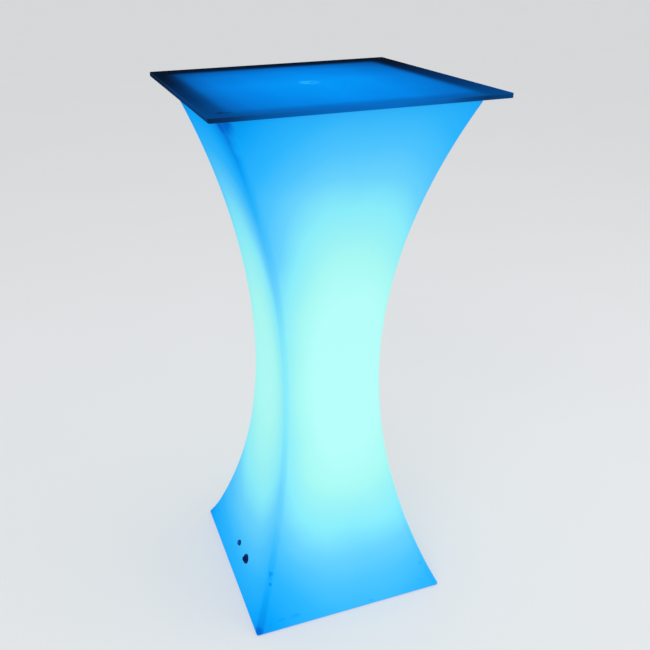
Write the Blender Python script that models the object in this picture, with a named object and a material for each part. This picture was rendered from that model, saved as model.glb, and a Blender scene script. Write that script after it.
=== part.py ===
"""A tall square bar table that lights up.

A hollow waisted plastic body stands on rubber feet. A battery light unit closes the
round opening in its floor, a switch and a charging socket sit low in its left side,
and a loose square glass top rests on it. Units are metres and +Z is up. The floor is
at zero height under the middle of the table, and the left side faces -X.
"""

import math

import bmesh
import bpy
from mathutils import Matrix, Vector

# The body, with heights measured from its underside
BODY_HEIGHT = 1.088
BASE_WIDTH = 0.434
WAIST_WIDTH = 0.214
TOP_WIDTH = 0.458
WAIST_HEIGHT = 0.523
UPRIGHT_EDGE_RADIUS = 0.016
TOP_EDGE_RADIUS = 0.006
BASE_EDGE_RADIUS = 0.0015
LEAST_CORNER_SHARE = 0.25
WALL = 0.004

# Gaps that the pieces share
SEAT_GAP = 0.0003
CLEARANCE = 0.002
CUT_OVERRUN = 0.005
FUSE_DEPTH = 0.001
MERGE_DISTANCE = 0.0000004

# The glass top and what it rests on
GLASS_OVERHANG = 0.0285
GLASS_THICKNESS = 0.008
GLASS_CORNER_RADIUS = 0.010
GLASS_ARRIS = 0.0008
PAD_SPACE = 0.002
PAD_RADIUS = 0.007
PAD_EDGE = 0.0004
PAD_INSET = 0.034
CUP_RADIUS = 0.020
CUP_RIM = 0.0006
CUP_STEM_RADIUS = 0.0045
CUP_STEM_LENGTH = 0.011
CUP_STEM_TAPER = 0.002

# Feet
FOOT_PROUD = 0.002
FOOT_POCKET_DEPTH = 0.002
FOOT_RADIUS = 0.016
FOOT_EDGE = 0.0006
FOOT_INSET = 0.050
FOOT_SCREW_RADIUS = 0.002
FOOT_HEAD_RADIUS = 0.004
FOOT_HEAD_HEIGHT = 0.0016
FOOT_HEAD_SINK = 0.0005
FOOT_SCREW_LENGTH = 0.012

# Plastic round screw holes, and the screws of the light unit
BOSS_WALL = 0.003
SMALL_SCREW_RADIUS = 0.0015
SMALL_HEAD_RADIUS = 0.0028
SMALL_HEAD_HEIGHT = 0.0018
SMALL_SCREW_LENGTH = 0.008
SOCKET_DEPTH_SHARE = 0.6
SOCKET_WIDTH_SHARE = 0.5

# The floor of the body, and the cover that closes it
POCKET_DEPTH = 0.010
LEDGE_WIDTH = 0.020
POCKET_CLEARANCE = 0.001
OPENING_CLEARANCE = 0.0015
GASKET_THICKNESS = 0.0015
COVER_THICKNESS = 0.003
SPIGOT_WALL = 0.0025
SPIGOT_HEIGHT = 0.010
COVER_SCREW_RADIUS = 0.002
COVER_HEAD_RADIUS = 0.0038
COVER_HEAD_HEIGHT = 0.0022
INSERT_RADIUS = 0.0035
INSERT_LENGTH = 0.008
INSERT_GROOVE = 0.0005

# The light unit on the cover
BATTERY_LENGTH = 0.070
BATTERY_WIDTH = 0.038
BATTERY_HEIGHT = 0.019
BATTERY_ROUND_SHARE = 0.25
BATTERY_ROUND_STEPS = 3
STRAP_WIDTH = 0.014
STRAP_THICKNESS = 0.0012
STRAP_TAB = 0.012
STRAP_POST_HEIGHT = 0.004
BOARD_THICKNESS = 0.0016
BOARD_MARGIN = 0.002
CONTROL_BOARD_LENGTH = 0.044
CONTROL_BOARD_DEPTH = 0.032
CONTROL_POST_HEIGHT = 0.006
COIL_PLACE_SHARE = 0.25
CHIP_PLACE_SHARE = 0.125
COIL_RADIUS = 0.005
COIL_HEIGHT = 0.006
CHIP_PACKAGE_SIDE = 0.008
CHIP_PACKAGE_HEIGHT = 0.0016
TERMINAL_LENGTH = 0.016
TERMINAL_DEPTH = 0.006
TERMINAL_HEIGHT = 0.007
LIGHT_CHIP_RADIUS = 0.0035
LIGHT_CHIP_HEIGHT = 0.0022
DOME_HEIGHT = 0.040
DOME_WALL = 0.002

# The switch and the charging socket, low in the left side
CONTROL_HEIGHT = 0.064
SWITCH_OFFSET = -0.0525
SOCKET_OFFSET = 0.004
SPOT_FACE_DEPTH = 0.0008
SPOT_FACE_MARGIN = 0.001
SEAL_THICKNESS = 0.0012
HOLE_CLEARANCE = 0.0004
SWITCH_FLANGE_RADIUS = 0.0105
SWITCH_FLANGE = 0.0022
SWITCH_BARREL_RADIUS = 0.008
SWITCH_BARREL_LENGTH = 0.022
SWITCH_NUT_THICKNESS = 0.004
SWITCH_NUT_WIDTH = 0.022
BUTTON_RADIUS = 0.0058
BUTTON_RISE = 0.0060
BUTTON_SHOULDER = 0.0010
BUTTON_SHOULDER_THICKNESS = 0.0015
BUTTON_TRAVEL = 0.0025
BUTTON_DOME_SHARE = 0.65
BARREL_LIP = 0.0030
SPRING_RADIUS = 0.0040
SPRING_WIRE = 0.0008
SPRING_SPARE = 0.0007
SOCKET_FLANGE_RADIUS = 0.0065
SOCKET_FLANGE = 0.0014
SOCKET_BARREL_RADIUS = 0.005
SOCKET_BARREL_LENGTH = 0.016
SOCKET_NUT_THICKNESS = 0.003
SOCKET_NUT_WIDTH = 0.014
SOCKET_BORE_RADIUS = 0.0031
SOCKET_BORE_DEPTH = 0.0100
PIN_RADIUS = 0.00105
PIN_SINK = 0.0015
PIN_TAG = 0.004
PLUG_CAP_RADIUS = 0.0056
PLUG_CAP_HEIGHT = 0.0016
PLUG_STEM_LENGTH = 0.006
FLANGE_EDGE = 0.0006

# Inner leads
LEAD_RADIUS = 0.0014
THIN_LEAD_RADIUS = 0.0010
LEAD_STRAIGHT = 0.010
SWITCH_LEAD_END_SHARE = 0.33
SAG_SHARE = 0.67

# Counts
SIDE_STEPS = 20
FILLET_STEPS = 3
CORNER_STEPS = 3
ROUND_STEPS = 32
PIECE_STEPS = 16
SCREW_STEPS = 12
DOME_STEPS = 5
SPRING_TURNS = 5
SPRING_POINTS = 8
ROUTE_STEPS = 6
HEX_SIDES = 6
SHARP_ANGLE = 35
SQUARE_CORNERS = ((1, 1), (-1, 1), (-1, -1), (1, -1))


def half_width(height, inset=0):
    """Half the width of the body at a height, or of a surface that lies inset inside it."""
    radius, away = side_arc(height)
    return WAIST_WIDTH / 2 + radius - math.sqrt(radius**2 - away**2) - inset * math.hypot(1, lean(height))


def side_arc(height):
    """Radius of the side's arc at a height, and the height above the waist."""
    if height < WAIST_HEIGHT:
        drop, reach = WAIST_HEIGHT, (BASE_WIDTH - WAIST_WIDTH) / 2
    else:
        drop, reach = BODY_HEIGHT - WAIST_HEIGHT, (TOP_WIDTH - WAIST_WIDTH) / 2
    return (drop**2 + reach**2) / (2 * reach), height - WAIST_HEIGHT


def lean(height):
    """How far the side moves out for each metre up, which is negative below the waist."""
    radius, away = side_arc(height)
    return away / math.sqrt(radius**2 - away**2)


def clear_scene():
    for old in list(bpy.data.objects):
        bpy.data.objects.remove(old, do_unlink=True)


def finish(name, colour, roughness, metallic=0, transmission=0, glow=0):
    """A material whose glow is a share of its own colour."""
    look = bpy.data.materials.new(name)
    look.use_nodes = True
    shader = look.node_tree.nodes["Principled BSDF"]
    shader.inputs["Base Color"].default_value = (*colour, 1)
    shader.inputs["Roughness"].default_value = roughness
    shader.inputs["Metallic"].default_value = metallic
    shader.inputs["Transmission Weight"].default_value = transmission
    shader.inputs["Emission Color"].default_value = (*colour, 1)
    shader.inputs["Emission Strength"].default_value = glow
    look.diffuse_color = (*colour, 1)
    return look


def piece(name, mesh, look, parent, at=(0, 0, 0), turn=(0, 0, 0), smooth=True):
    """A named object of the mesh, placed in its parent's frame."""
    made = bpy.data.objects.new(name, mesh)
    bpy.context.collection.objects.link(made)
    made.parent = parent
    made.location = at
    made.rotation_euler = turn
    if not mesh.materials:
        mesh.materials.append(look)
    if smooth:
        mesh.shade_smooth()
        mesh.set_sharp_from_angle(angle=math.radians(SHARP_ANGLE))
    return made


def empty(name, parent, at=(0, 0, 0), turn=(0, 0, 0)):
    made = bpy.data.objects.new(name, None)
    bpy.context.collection.objects.link(made)
    made.parent = parent
    made.location = at
    made.rotation_euler = turn
    return made


def mesh_of(shape, name):
    bmesh.ops.recalc_face_normals(shape, faces=shape.faces)
    mesh = bpy.data.meshes.new(name)
    shape.to_mesh(mesh)
    shape.free()
    return mesh


def turned(name, outline, steps=PIECE_STEPS):
    """A mesh turned about Z from (radius, height) points, closed on the axis or on itself."""
    shape = bmesh.new()
    points = [shape.verts.new((radius, 0, height)) for radius, height in outline]
    pairs = list(zip(points, points[1:]))
    if outline[0][0] > 0:
        pairs.append((points[-1], points[0]))
    edges = [shape.edges.new(pair) for pair in pairs]
    bmesh.ops.spin(
        shape,
        geom=points + edges,
        cent=(0, 0, 0),
        axis=(0, 0, 1),
        angle=math.tau,
        steps=steps,
        use_merge=True,
    )
    bmesh.ops.remove_doubles(shape, verts=shape.verts, dist=MERGE_DISTANCE)
    return mesh_of(shape, name)


def turned_from_axis(name, outline):
    """A turned mesh whose outline, written in any order, has two neighbouring points on the axis."""
    start = next(number for number, (radius, _) in enumerate(outline) if radius == 0) + 1
    return turned(name, outline[start:] + outline[:start])


def square_ring(half, radius, height):
    """Points of a square with rounded corners, anticlockwise seen from above."""
    ring = []
    for quarter, (side_x, side_y) in enumerate(SQUARE_CORNERS):
        for step in range(CORNER_STEPS + 1):
            angle = math.pi / 2 * (quarter + step / CORNER_STEPS)
            x = side_x * (half - radius) + radius * math.cos(angle)
            y = side_y * (half - radius) + radius * math.sin(angle)
            ring.append((x, y, height))
    return ring


def lofted(name, rings):
    """A closed mesh through rings of equally many points, from the lowest up."""
    shape = bmesh.new()
    loops = [[shape.verts.new(point) for point in ring] for ring in rings]
    for lower, upper in zip(loops, loops[1:]):
        for left in range(len(lower)):
            right = (left + 1) % len(lower)
            shape.faces.new((lower[left], lower[right], upper[right], upper[left]))
    shape.faces.new(loops[0])
    shape.faces.new(loops[-1])
    return mesh_of(shape, name)


def rods(name, places, radius, bottom, top, steps=PIECE_STEPS):
    """Upright cylinders between two heights, one at each (x, y) place, in one mesh."""
    shape = bmesh.new()
    for x, y in places:
        bmesh.ops.create_cone(
            shape,
            cap_ends=True,
            segments=steps,
            radius1=radius,
            radius2=radius,
            depth=top - bottom,
            matrix=Matrix.Translation((x, y, (bottom + top) / 2)),
        )
    return mesh_of(shape, name)


def block(name, size, at=(0, 0, 0)):
    shape = bmesh.new()
    bmesh.ops.create_cube(shape, size=1, matrix=Matrix.LocRotScale(Vector(at), None, Vector(size)))
    return mesh_of(shape, name)


def combine(target, operation, mesh, parent=None):
    """Joins the mesh to the target, or cuts it away, with a hidden helper in the parent's frame."""
    helper = bpy.data.objects.new(mesh.name, mesh)
    bpy.context.collection.objects.link(helper)
    helper.parent = parent or target
    helper.hide_render = True
    helper.display_type = "WIRE"
    modifier = target.modifiers.new(mesh.name, "BOOLEAN")
    modifier.operation = operation
    modifier.object = helper


def soften(target, width, segments):
    modifier = target.modifiers.new("soft edges", "BEVEL")
    modifier.width = width
    modifier.segments = segments
    modifier.limit_method = "ANGLE"


def baked(made):
    """The mesh that an object has after its modifiers, for copies to share. The object goes."""
    helpers = [modifier.object for modifier in made.modifiers if modifier.type == "BOOLEAN"]
    mesh = bpy.data.meshes.new_from_object(made.evaluated_get(bpy.context.evaluated_depsgraph_get()))
    mesh.name = made.name
    for old in [made, *helpers]:
        bpy.data.objects.remove(old, do_unlink=True)
    return mesh


def on_circle(radius, count, first_degrees):
    """Evenly spaced (x, y) places on a circle."""
    angles = [math.radians(first_degrees) + math.tau * number / count for number in range(count)]
    return [(radius * math.cos(angle), radius * math.sin(angle)) for angle in angles]


def smooth_route(points, steps=ROUTE_STEPS):
    """Points along a smooth curve through a route's own points."""
    ends = [2 * points[0] - points[1], *points, 2 * points[-1] - points[-2]]
    route = []
    for before, start, end, after in zip(ends, ends[1:], ends[2:], ends[3:]):
        for step in range(steps):
            share = step / steps
            pull = (end - before) * share + (2 * before - 5 * start + 4 * end - after) * share**2
            route.append(start + (pull + (3 * start - before - 3 * end + after) * share**3) / 2)
    return route + [points[-1]]


def tube(name, points, radius, look, parent):
    """A round wire or lead along the points."""
    curve = bpy.data.curves.new(name, "CURVE")
    curve.dimensions = "3D"
    curve.bevel_depth = radius
    curve.bevel_resolution = 1
    curve.use_fill_caps = True
    line = curve.splines.new("POLY")
    line.points.add(len(points) - 1)
    for spot, point in zip(line.points, points):
        spot.co = (*point, 1)
    curve.materials.append(look)
    made = bpy.data.objects.new(name, curve)
    bpy.context.collection.objects.link(made)
    made.parent = parent
    return made


def hex_screw(name, shank_radius, head_radius, head_height, length, look):
    """A screw mesh that points up, with the underside of its head at zero and a six-sided socket."""
    point = shank_radius / 2
    outline = [
        (0, -head_height),
        (head_radius, -head_height),
        (head_radius, 0),
        (shank_radius, 0),
        (shank_radius, length - point),
        (shank_radius - point, length),
        (0, length),
    ]
    made = piece(name, turned(name, outline, SCREW_STEPS), look, None)
    depth = head_height * SOCKET_DEPTH_SHARE
    reach = head_radius * SOCKET_WIDTH_SHARE
    socket = rods(name + "_socket", [(0, 0)], reach, -head_height - depth, depth - head_height, HEX_SIDES)
    combine(made, "DIFFERENCE", socket)
    return baked(made)


# Sizes that follow from those above, with heights again from the body's underside
BODY_BOTTOM = FOOT_PROUD
GLASS_SIDE = TOP_WIDTH + 2 * GLASS_OVERHANG
GLASS_UNDER = BODY_HEIGHT + PAD_SPACE
POST_RADIUS = SMALL_SCREW_RADIUS + SEAT_GAP + BOSS_WALL
LED_SCREW_CIRCLE = math.hypot(BATTERY_LENGTH, BATTERY_WIDTH) / 2 + POST_RADIUS + CLEARANCE
LED_BOARD_RADIUS = LED_SCREW_CIRCLE + SMALL_HEAD_RADIUS + BOARD_MARGIN
DOME_RADIUS = LED_SCREW_CIRCLE - SMALL_HEAD_RADIUS - CLEARANCE
STRAP_LEG = BATTERY_WIDTH / 2 + SEAT_GAP + STRAP_THICKNESS
STRAP_REACH = STRAP_LEG + STRAP_TAB
CONTROL_BOARD_Y = -(STRAP_REACH + CLEARANCE + CONTROL_BOARD_DEPTH / 2)
CONTROL_BOARD_FAR = math.hypot(CONTROL_BOARD_LENGTH / 2, CONTROL_BOARD_DEPTH / 2 - CONTROL_BOARD_Y)
SPIGOT_BORE = max(CONTROL_BOARD_FAR, LED_BOARD_RADIUS, STRAP_REACH) + CLEARANCE
SPIGOT_RADIUS = SPIGOT_BORE + SPIGOT_WALL
OPENING_RADIUS = SPIGOT_RADIUS + OPENING_CLEARANCE
POCKET_RADIUS = OPENING_RADIUS + LEDGE_WIDTH
HUB_RADIUS = POCKET_RADIUS + WALL
HUB_TOP = POCKET_DEPTH + WALL
COVER_RADIUS = POCKET_RADIUS - POCKET_CLEARANCE
COVER_SCREW_CIRCLE = (OPENING_RADIUS + POCKET_RADIUS) / 2
GASKET_TOP = POCKET_DEPTH - SEAT_GAP
GASKET_BOTTOM = GASKET_TOP - GASKET_THICKNESS
COVER_TOP = GASKET_BOTTOM - SEAT_GAP
COVER_BOTTOM = COVER_TOP - COVER_THICKNESS
INSERT_BOTTOM = POCKET_DEPTH + SEAT_GAP
INSERT_TOP = INSERT_BOTTOM + INSERT_LENGTH
INSERT_BOSS_TOP = INSERT_TOP + CLEARANCE + BOSS_WALL
FOOT_PLACE = BASE_WIDTH / 2 - FOOT_INSET
FOOT_HEAD_TOP = FOOT_HEAD_SINK + FOOT_HEAD_HEIGHT - FOOT_PROUD
FOOT_BOSS_TOP = FOOT_HEAD_TOP + FOOT_SCREW_LENGTH + CLEARANCE + BOSS_WALL
BATTERY_BOTTOM = COVER_TOP + SEAT_GAP
STRAP_UNDER = BATTERY_BOTTOM + BATTERY_HEIGHT + SEAT_GAP
STRAP_TAB_UNDER = COVER_TOP + STRAP_POST_HEIGHT + SEAT_GAP
LED_POST_TOP = STRAP_UNDER + STRAP_THICKNESS + CLEARANCE
LED_BOARD_BOTTOM = LED_POST_TOP + SEAT_GAP
LED_BOARD_TOP = LED_BOARD_BOTTOM + BOARD_THICKNESS
DOME_BOTTOM = LED_BOARD_TOP + SEAT_GAP
CONTROL_POST_TOP = COVER_TOP + CONTROL_POST_HEIGHT
CONTROL_BOARD_TOP = CONTROL_POST_TOP + SEAT_GAP + BOARD_THICKNESS
CONTROL_SCREW_X = CONTROL_BOARD_LENGTH / 2 - SMALL_HEAD_RADIUS - BOARD_MARGIN
CONTROL_SCREW_Y = CONTROL_BOARD_Y + CONTROL_BOARD_DEPTH / 2 - SMALL_HEAD_RADIUS - BOARD_MARGIN
STRAP_SCREW_Y = STRAP_LEG + STRAP_TAB / 2
LED_SCREWS = on_circle(LED_SCREW_CIRCLE, 3, 90)
COVER_SCREWS = on_circle(COVER_SCREW_CIRCLE, 4, 0)
STRAP_SCREWS = [(0, STRAP_SCREW_Y), (0, -STRAP_SCREW_Y)]
CONTROL_SCREWS = [(CONTROL_SCREW_X, CONTROL_SCREW_Y), (-CONTROL_SCREW_X, CONTROL_SCREW_Y)]
FEET = [(side_x * FOOT_PLACE, side_y * FOOT_PLACE) for side_x, side_y in SQUARE_CORNERS]

# Heights above the wall's face in the frame of a control, whose Z points straight out of the wall
SEAL_BOTTOM = SEAT_GAP - SPOT_FACE_DEPTH
FLANGE_BOTTOM = SEAL_BOTTOM + SEAL_THICKNESS + SEAT_GAP
NUT_TOP = -WALL - SEAT_GAP
SWITCH_FACE = FLANGE_BOTTOM + SWITCH_FLANGE
SWITCH_BACK = FLANGE_BOTTOM - SWITCH_BARREL_LENGTH
SHOULDER_TOP = SWITCH_FACE - BARREL_LIP - SEAT_GAP
BUTTON_BOTTOM = SHOULDER_TOP - BUTTON_SHOULDER_THICKNESS
SPRING_LENGTH = BUTTON_TRAVEL + (SPRING_TURNS + 1) * SPRING_WIRE + SPRING_SPARE
SPRING_TOP = BUTTON_BOTTOM - SEAT_GAP
SPRING_BOTTOM = SPRING_TOP - SPRING_LENGTH
SWITCH_BORE_FLOOR = SPRING_BOTTOM - SEAT_GAP
SOCKET_FACE = FLANGE_BOTTOM + SOCKET_FLANGE
SOCKET_BACK = FLANGE_BOTTOM - SOCKET_BARREL_LENGTH
SOCKET_BORE_FLOOR = SOCKET_FACE - SOCKET_BORE_DEPTH


def edge_round(corner_half, corner_height, lean_out, radius, upward):
    """(half width, height, inset) points round a flat end's edge, from the side to the flat."""
    if radius <= 0:
        return [(corner_half, corner_height, 0)]
    centre_half = corner_half - radius * (math.hypot(1, lean_out) + lean_out)
    centre_height = corner_height - upward * radius
    first = -math.atan(lean_out)
    points = []
    for step in range(FILLET_STEPS + 1):
        angle = first + (math.pi / 2 - first) * step / FILLET_STEPS
        inset = radius * (1 - math.cos(angle)) if angle > 0 else 0
        half = centre_half + radius * math.cos(angle)
        points.append((half, centre_height + upward * radius * math.sin(angle), inset))
    return points


def body_surface(name, inset):
    """The body's outside, or the surface that lies inset inside it."""
    low, high = inset, BODY_HEIGHT - inset
    plan_radius = UPRIGHT_EDGE_RADIUS - inset
    base = edge_round(half_width(low, inset), low, -lean(low), BASE_EDGE_RADIUS - inset, -1)[::-1]
    top = edge_round(half_width(high, inset), high, lean(high), TOP_EDGE_RADIUS - inset, 1)
    first, last = base[-1][1], top[0][1]
    heights = [first + (last - first) * step / SIDE_STEPS for step in range(1, SIDE_STEPS)]
    side = [(half_width(height, inset), height, 0) for height in heights]
    least_radius = plan_radius * LEAST_CORNER_SHARE
    rings = []
    for half, height, trim in base + side + top:
        rings.append(square_ring(half, max(plan_radius - trim, least_radius), height))
    return lofted(name, rings)


def make_body(look, table, controls):
    """The hollow moulded shell, with its floor, bosses, holes and seats for the controls."""
    body = piece("body_shell", body_surface("body_shell", 0), look, table)
    combine(body, "DIFFERENCE", body_surface("body_hollow", WALL))
    boss_foot = WALL - FUSE_DEPTH
    hub = rods("floor_hub", [(0, 0)], HUB_RADIUS, boss_foot, HUB_TOP, ROUND_STEPS)
    combine(body, "UNION", hub)
    foot_boss = FOOT_SCREW_RADIUS + SEAT_GAP + BOSS_WALL
    combine(body, "UNION", rods("foot_bosses", FEET, foot_boss, boss_foot, FOOT_BOSS_TOP))
    insert_boss = INSERT_RADIUS + BOSS_WALL
    bosses = rods("insert_bosses", COVER_SCREWS, insert_boss, HUB_TOP - FUSE_DEPTH, INSERT_BOSS_TOP)
    combine(body, "UNION", bosses)
    outline = [
        (0, -CUT_OVERRUN),
        (POCKET_RADIUS, -CUT_OVERRUN),
        (POCKET_RADIUS, POCKET_DEPTH),
        (OPENING_RADIUS, POCKET_DEPTH),
        (OPENING_RADIUS, HUB_TOP + CUT_OVERRUN),
        (0, HUB_TOP + CUT_OVERRUN),
    ]
    combine(body, "DIFFERENCE", turned("pocket_and_opening", outline, ROUND_STEPS))
    insert_hole = INSERT_RADIUS + SEAT_GAP
    combine(body, "DIFFERENCE", rods("insert_holes", COVER_SCREWS, insert_hole, 0, INSERT_TOP + CLEARANCE))
    foot_pocket = FOOT_RADIUS + SEAT_GAP
    combine(body, "DIFFERENCE", rods("foot_pockets", FEET, foot_pocket, -CUT_OVERRUN, FOOT_POCKET_DEPTH))
    foot_hole = FOOT_SCREW_RADIUS + SEAT_GAP
    holes = rods("foot_holes", FEET, foot_hole, 0, FOOT_BOSS_TOP - BOSS_WALL, SCREW_STEPS)
    combine(body, "DIFFERENCE", holes)
    through = (BODY_HEIGHT - WALL - CUT_OVERRUN, BODY_HEIGHT + CUT_OVERRUN)
    combine(body, "DIFFERENCE", rods("cup_hole", [(0, 0)], CUP_STEM_RADIUS + SEAT_GAP, *through))
    for frame, flange_radius, barrel_radius in controls:
        spot_face = flange_radius + SPOT_FACE_MARGIN
        seat = rods(frame.name + "_seat", [(0, 0)], spot_face, -SPOT_FACE_DEPTH, CUT_OVERRUN)
        hole_radius = barrel_radius + HOLE_CLEARANCE
        hole = rods(frame.name + "_hole", [(0, 0)], hole_radius, -WALL - CUT_OVERRUN, CUT_OVERRUN)
        combine(body, "DIFFERENCE", seat, frame)
        combine(body, "DIFFERENCE", hole, frame)


def make_glass(look, table):
    """The loose square top, with its arrises taken off."""
    half, top = GLASS_SIDE / 2, GLASS_UNDER + GLASS_THICKNESS
    sections = [
        (GLASS_UNDER, GLASS_ARRIS),
        (GLASS_UNDER + GLASS_ARRIS, 0),
        (top - GLASS_ARRIS, 0),
        (top, GLASS_ARRIS),
    ]
    rings = [square_ring(half - trim, GLASS_CORNER_RADIUS - trim, height) for height, trim in sections]
    piece("glass_top", lofted("glass_top", rings), look, table)


def make_pads(look, table):
    """The clear pads under the glass's corners, and the suction cup in its middle."""
    bottom, top = BODY_HEIGHT + SEAT_GAP, GLASS_UNDER - SEAT_GAP
    shoulder = (PAD_RADIUS, top - PAD_EDGE)
    outline = [(0, bottom), (PAD_RADIUS, bottom), shoulder, (PAD_RADIUS - PAD_EDGE, top), (0, top)]
    pad = turned("corner_pad", outline)
    place = TOP_WIDTH / 2 - PAD_INSET
    for number, (side_x, side_y) in enumerate(SQUARE_CORNERS, 1):
        piece(f"corner_pad_{number}", pad, look, table, (side_x * place, side_y * place, 0))
    stem_end = bottom - CUP_STEM_LENGTH
    neck = CUP_STEM_RADIUS + CLEARANCE
    outline = [
        (0, stem_end),
        (CUP_STEM_RADIUS - CUP_STEM_TAPER, stem_end),
        (CUP_STEM_RADIUS, stem_end + CUP_STEM_TAPER),
        (CUP_STEM_RADIUS, bottom),
        (neck, bottom),
        (CUP_RADIUS, top - CUP_RIM),
        (CUP_RADIUS, top),
        (neck, top - CUP_RIM),
        (CUP_STEM_RADIUS / 2, top - CUP_RIM),
        (CUP_STEM_RADIUS / 2, bottom),
        (0, bottom),
    ]
    piece("centre_suction_cup", turned("centre_suction_cup", outline, ROUND_STEPS), look, table)


def make_feet(rubber, steel, table):
    """Four rubber feet, each held up into its pocket by a screw."""
    bottom, top = -FOOT_PROUD, FOOT_POCKET_DEPTH - SEAT_GAP
    head_hole, shank_hole = FOOT_HEAD_RADIUS + SEAT_GAP, FOOT_SCREW_RADIUS + SEAT_GAP
    outline = [
        (head_hole, bottom),
        (FOOT_RADIUS - FOOT_EDGE, bottom),
        (FOOT_RADIUS, bottom + FOOT_EDGE),
        (FOOT_RADIUS, top),
        (shank_hole, top),
        (shank_hole, FOOT_HEAD_TOP + SEAT_GAP),
        (head_hole, FOOT_HEAD_TOP + SEAT_GAP),
    ]
    foot = turned("foot", outline)
    head = (FOOT_HEAD_RADIUS, FOOT_HEAD_HEIGHT)
    screw = hex_screw("foot_screw", FOOT_SCREW_RADIUS, *head, FOOT_SCREW_LENGTH, steel)
    for number, (x, y) in enumerate(FEET, 1):
        piece(f"foot_{number}", foot, rubber, table, (x, y, 0))
        piece(f"foot_screw_{number}", screw, steel, table, (x, y, FOOT_HEAD_TOP))


def make_cover(plastic, foam, steel, brass, table):
    """The cover of the floor's opening, with its spigot, posts, gasket, screws and inserts."""
    outline = [
        (0, COVER_BOTTOM),
        (COVER_RADIUS, COVER_BOTTOM),
        (COVER_RADIUS, COVER_TOP),
        (SPIGOT_RADIUS, COVER_TOP),
        (SPIGOT_RADIUS, COVER_TOP + SPIGOT_HEIGHT),
        (SPIGOT_BORE, COVER_TOP + SPIGOT_HEIGHT),
        (SPIGOT_BORE, COVER_TOP),
        (0, COVER_TOP),
    ]
    cover = piece("base_cover", turned("base_cover", outline, ROUND_STEPS), plastic, table)
    root = COVER_TOP - FUSE_DEPTH
    post_sets = (
        ("led_posts", LED_SCREWS, LED_POST_TOP),
        ("strap_posts", STRAP_SCREWS, COVER_TOP + STRAP_POST_HEIGHT),
        ("control_posts", CONTROL_SCREWS, CONTROL_POST_TOP),
    )
    for name, places, post_top in post_sets:
        combine(cover, "UNION", rods(name, places, POST_RADIUS, root, post_top, SCREW_STEPS))
    for name, places, post_top in post_sets:
        hole_bottom = max(post_top - SMALL_SCREW_LENGTH - CLEARANCE, COVER_BOTTOM + FUSE_DEPTH)
        depth = (hole_bottom, post_top + CUT_OVERRUN)
        hole = rods(name + "_holes", places, SMALL_SCREW_RADIUS + SEAT_GAP, *depth, SCREW_STEPS)
        combine(cover, "DIFFERENCE", hole)
    flange_hole = COVER_SCREW_RADIUS + SEAT_GAP
    through = (COVER_BOTTOM - CUT_OVERRUN, COVER_TOP + CUT_OVERRUN)
    combine(cover, "DIFFERENCE", rods("cover_holes", COVER_SCREWS, flange_hole, *through, SCREW_STEPS))

    outline = [
        (OPENING_RADIUS, GASKET_BOTTOM),
        (COVER_RADIUS, GASKET_BOTTOM),
        (COVER_RADIUS, GASKET_TOP),
        (OPENING_RADIUS, GASKET_TOP),
    ]
    gasket = piece("base_gasket", turned("base_gasket", outline, ROUND_STEPS), foam, table)
    through = (GASKET_BOTTOM - CUT_OVERRUN, GASKET_TOP + CUT_OVERRUN)
    combine(gasket, "DIFFERENCE", rods("gasket_holes", COVER_SCREWS, flange_hole, *through, SCREW_STEPS))

    head_under = COVER_BOTTOM - SEAT_GAP
    length = INSERT_TOP - head_under - SEAT_GAP
    head = (COVER_HEAD_RADIUS, COVER_HEAD_HEIGHT)
    screw = hex_screw("cover_screw", COVER_SCREW_RADIUS, *head, length, steel)
    middle = INSERT_LENGTH / 2
    insert_bore = COVER_SCREW_RADIUS + SEAT_GAP
    outline = [
        (insert_bore, 0),
        (INSERT_RADIUS, 0),
        (INSERT_RADIUS, middle - INSERT_GROOVE),
        (INSERT_RADIUS - INSERT_GROOVE, middle - INSERT_GROOVE),
        (INSERT_RADIUS - INSERT_GROOVE, middle + INSERT_GROOVE),
        (INSERT_RADIUS, middle + INSERT_GROOVE),
        (INSERT_RADIUS, INSERT_LENGTH),
        (insert_bore, INSERT_LENGTH),
    ]
    insert = turned("cover_insert", outline, SCREW_STEPS)
    for number, (x, y) in enumerate(COVER_SCREWS, 1):
        piece(f"cover_screw_{number}", screw, steel, table, (x, y, head_under))
        piece(f"cover_insert_{number}", insert, brass, table, (x, y, INSERT_BOTTOM))


def small_screws(base_name, places, head_under, screw, look, table):
    """Screws that point down, with the undersides of their heads at one height."""
    for number, (x, y) in enumerate(places, 1):
        piece(f"{base_name}_{number}", screw, look, table, (x, y, head_under), (math.pi, 0, 0))


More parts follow.
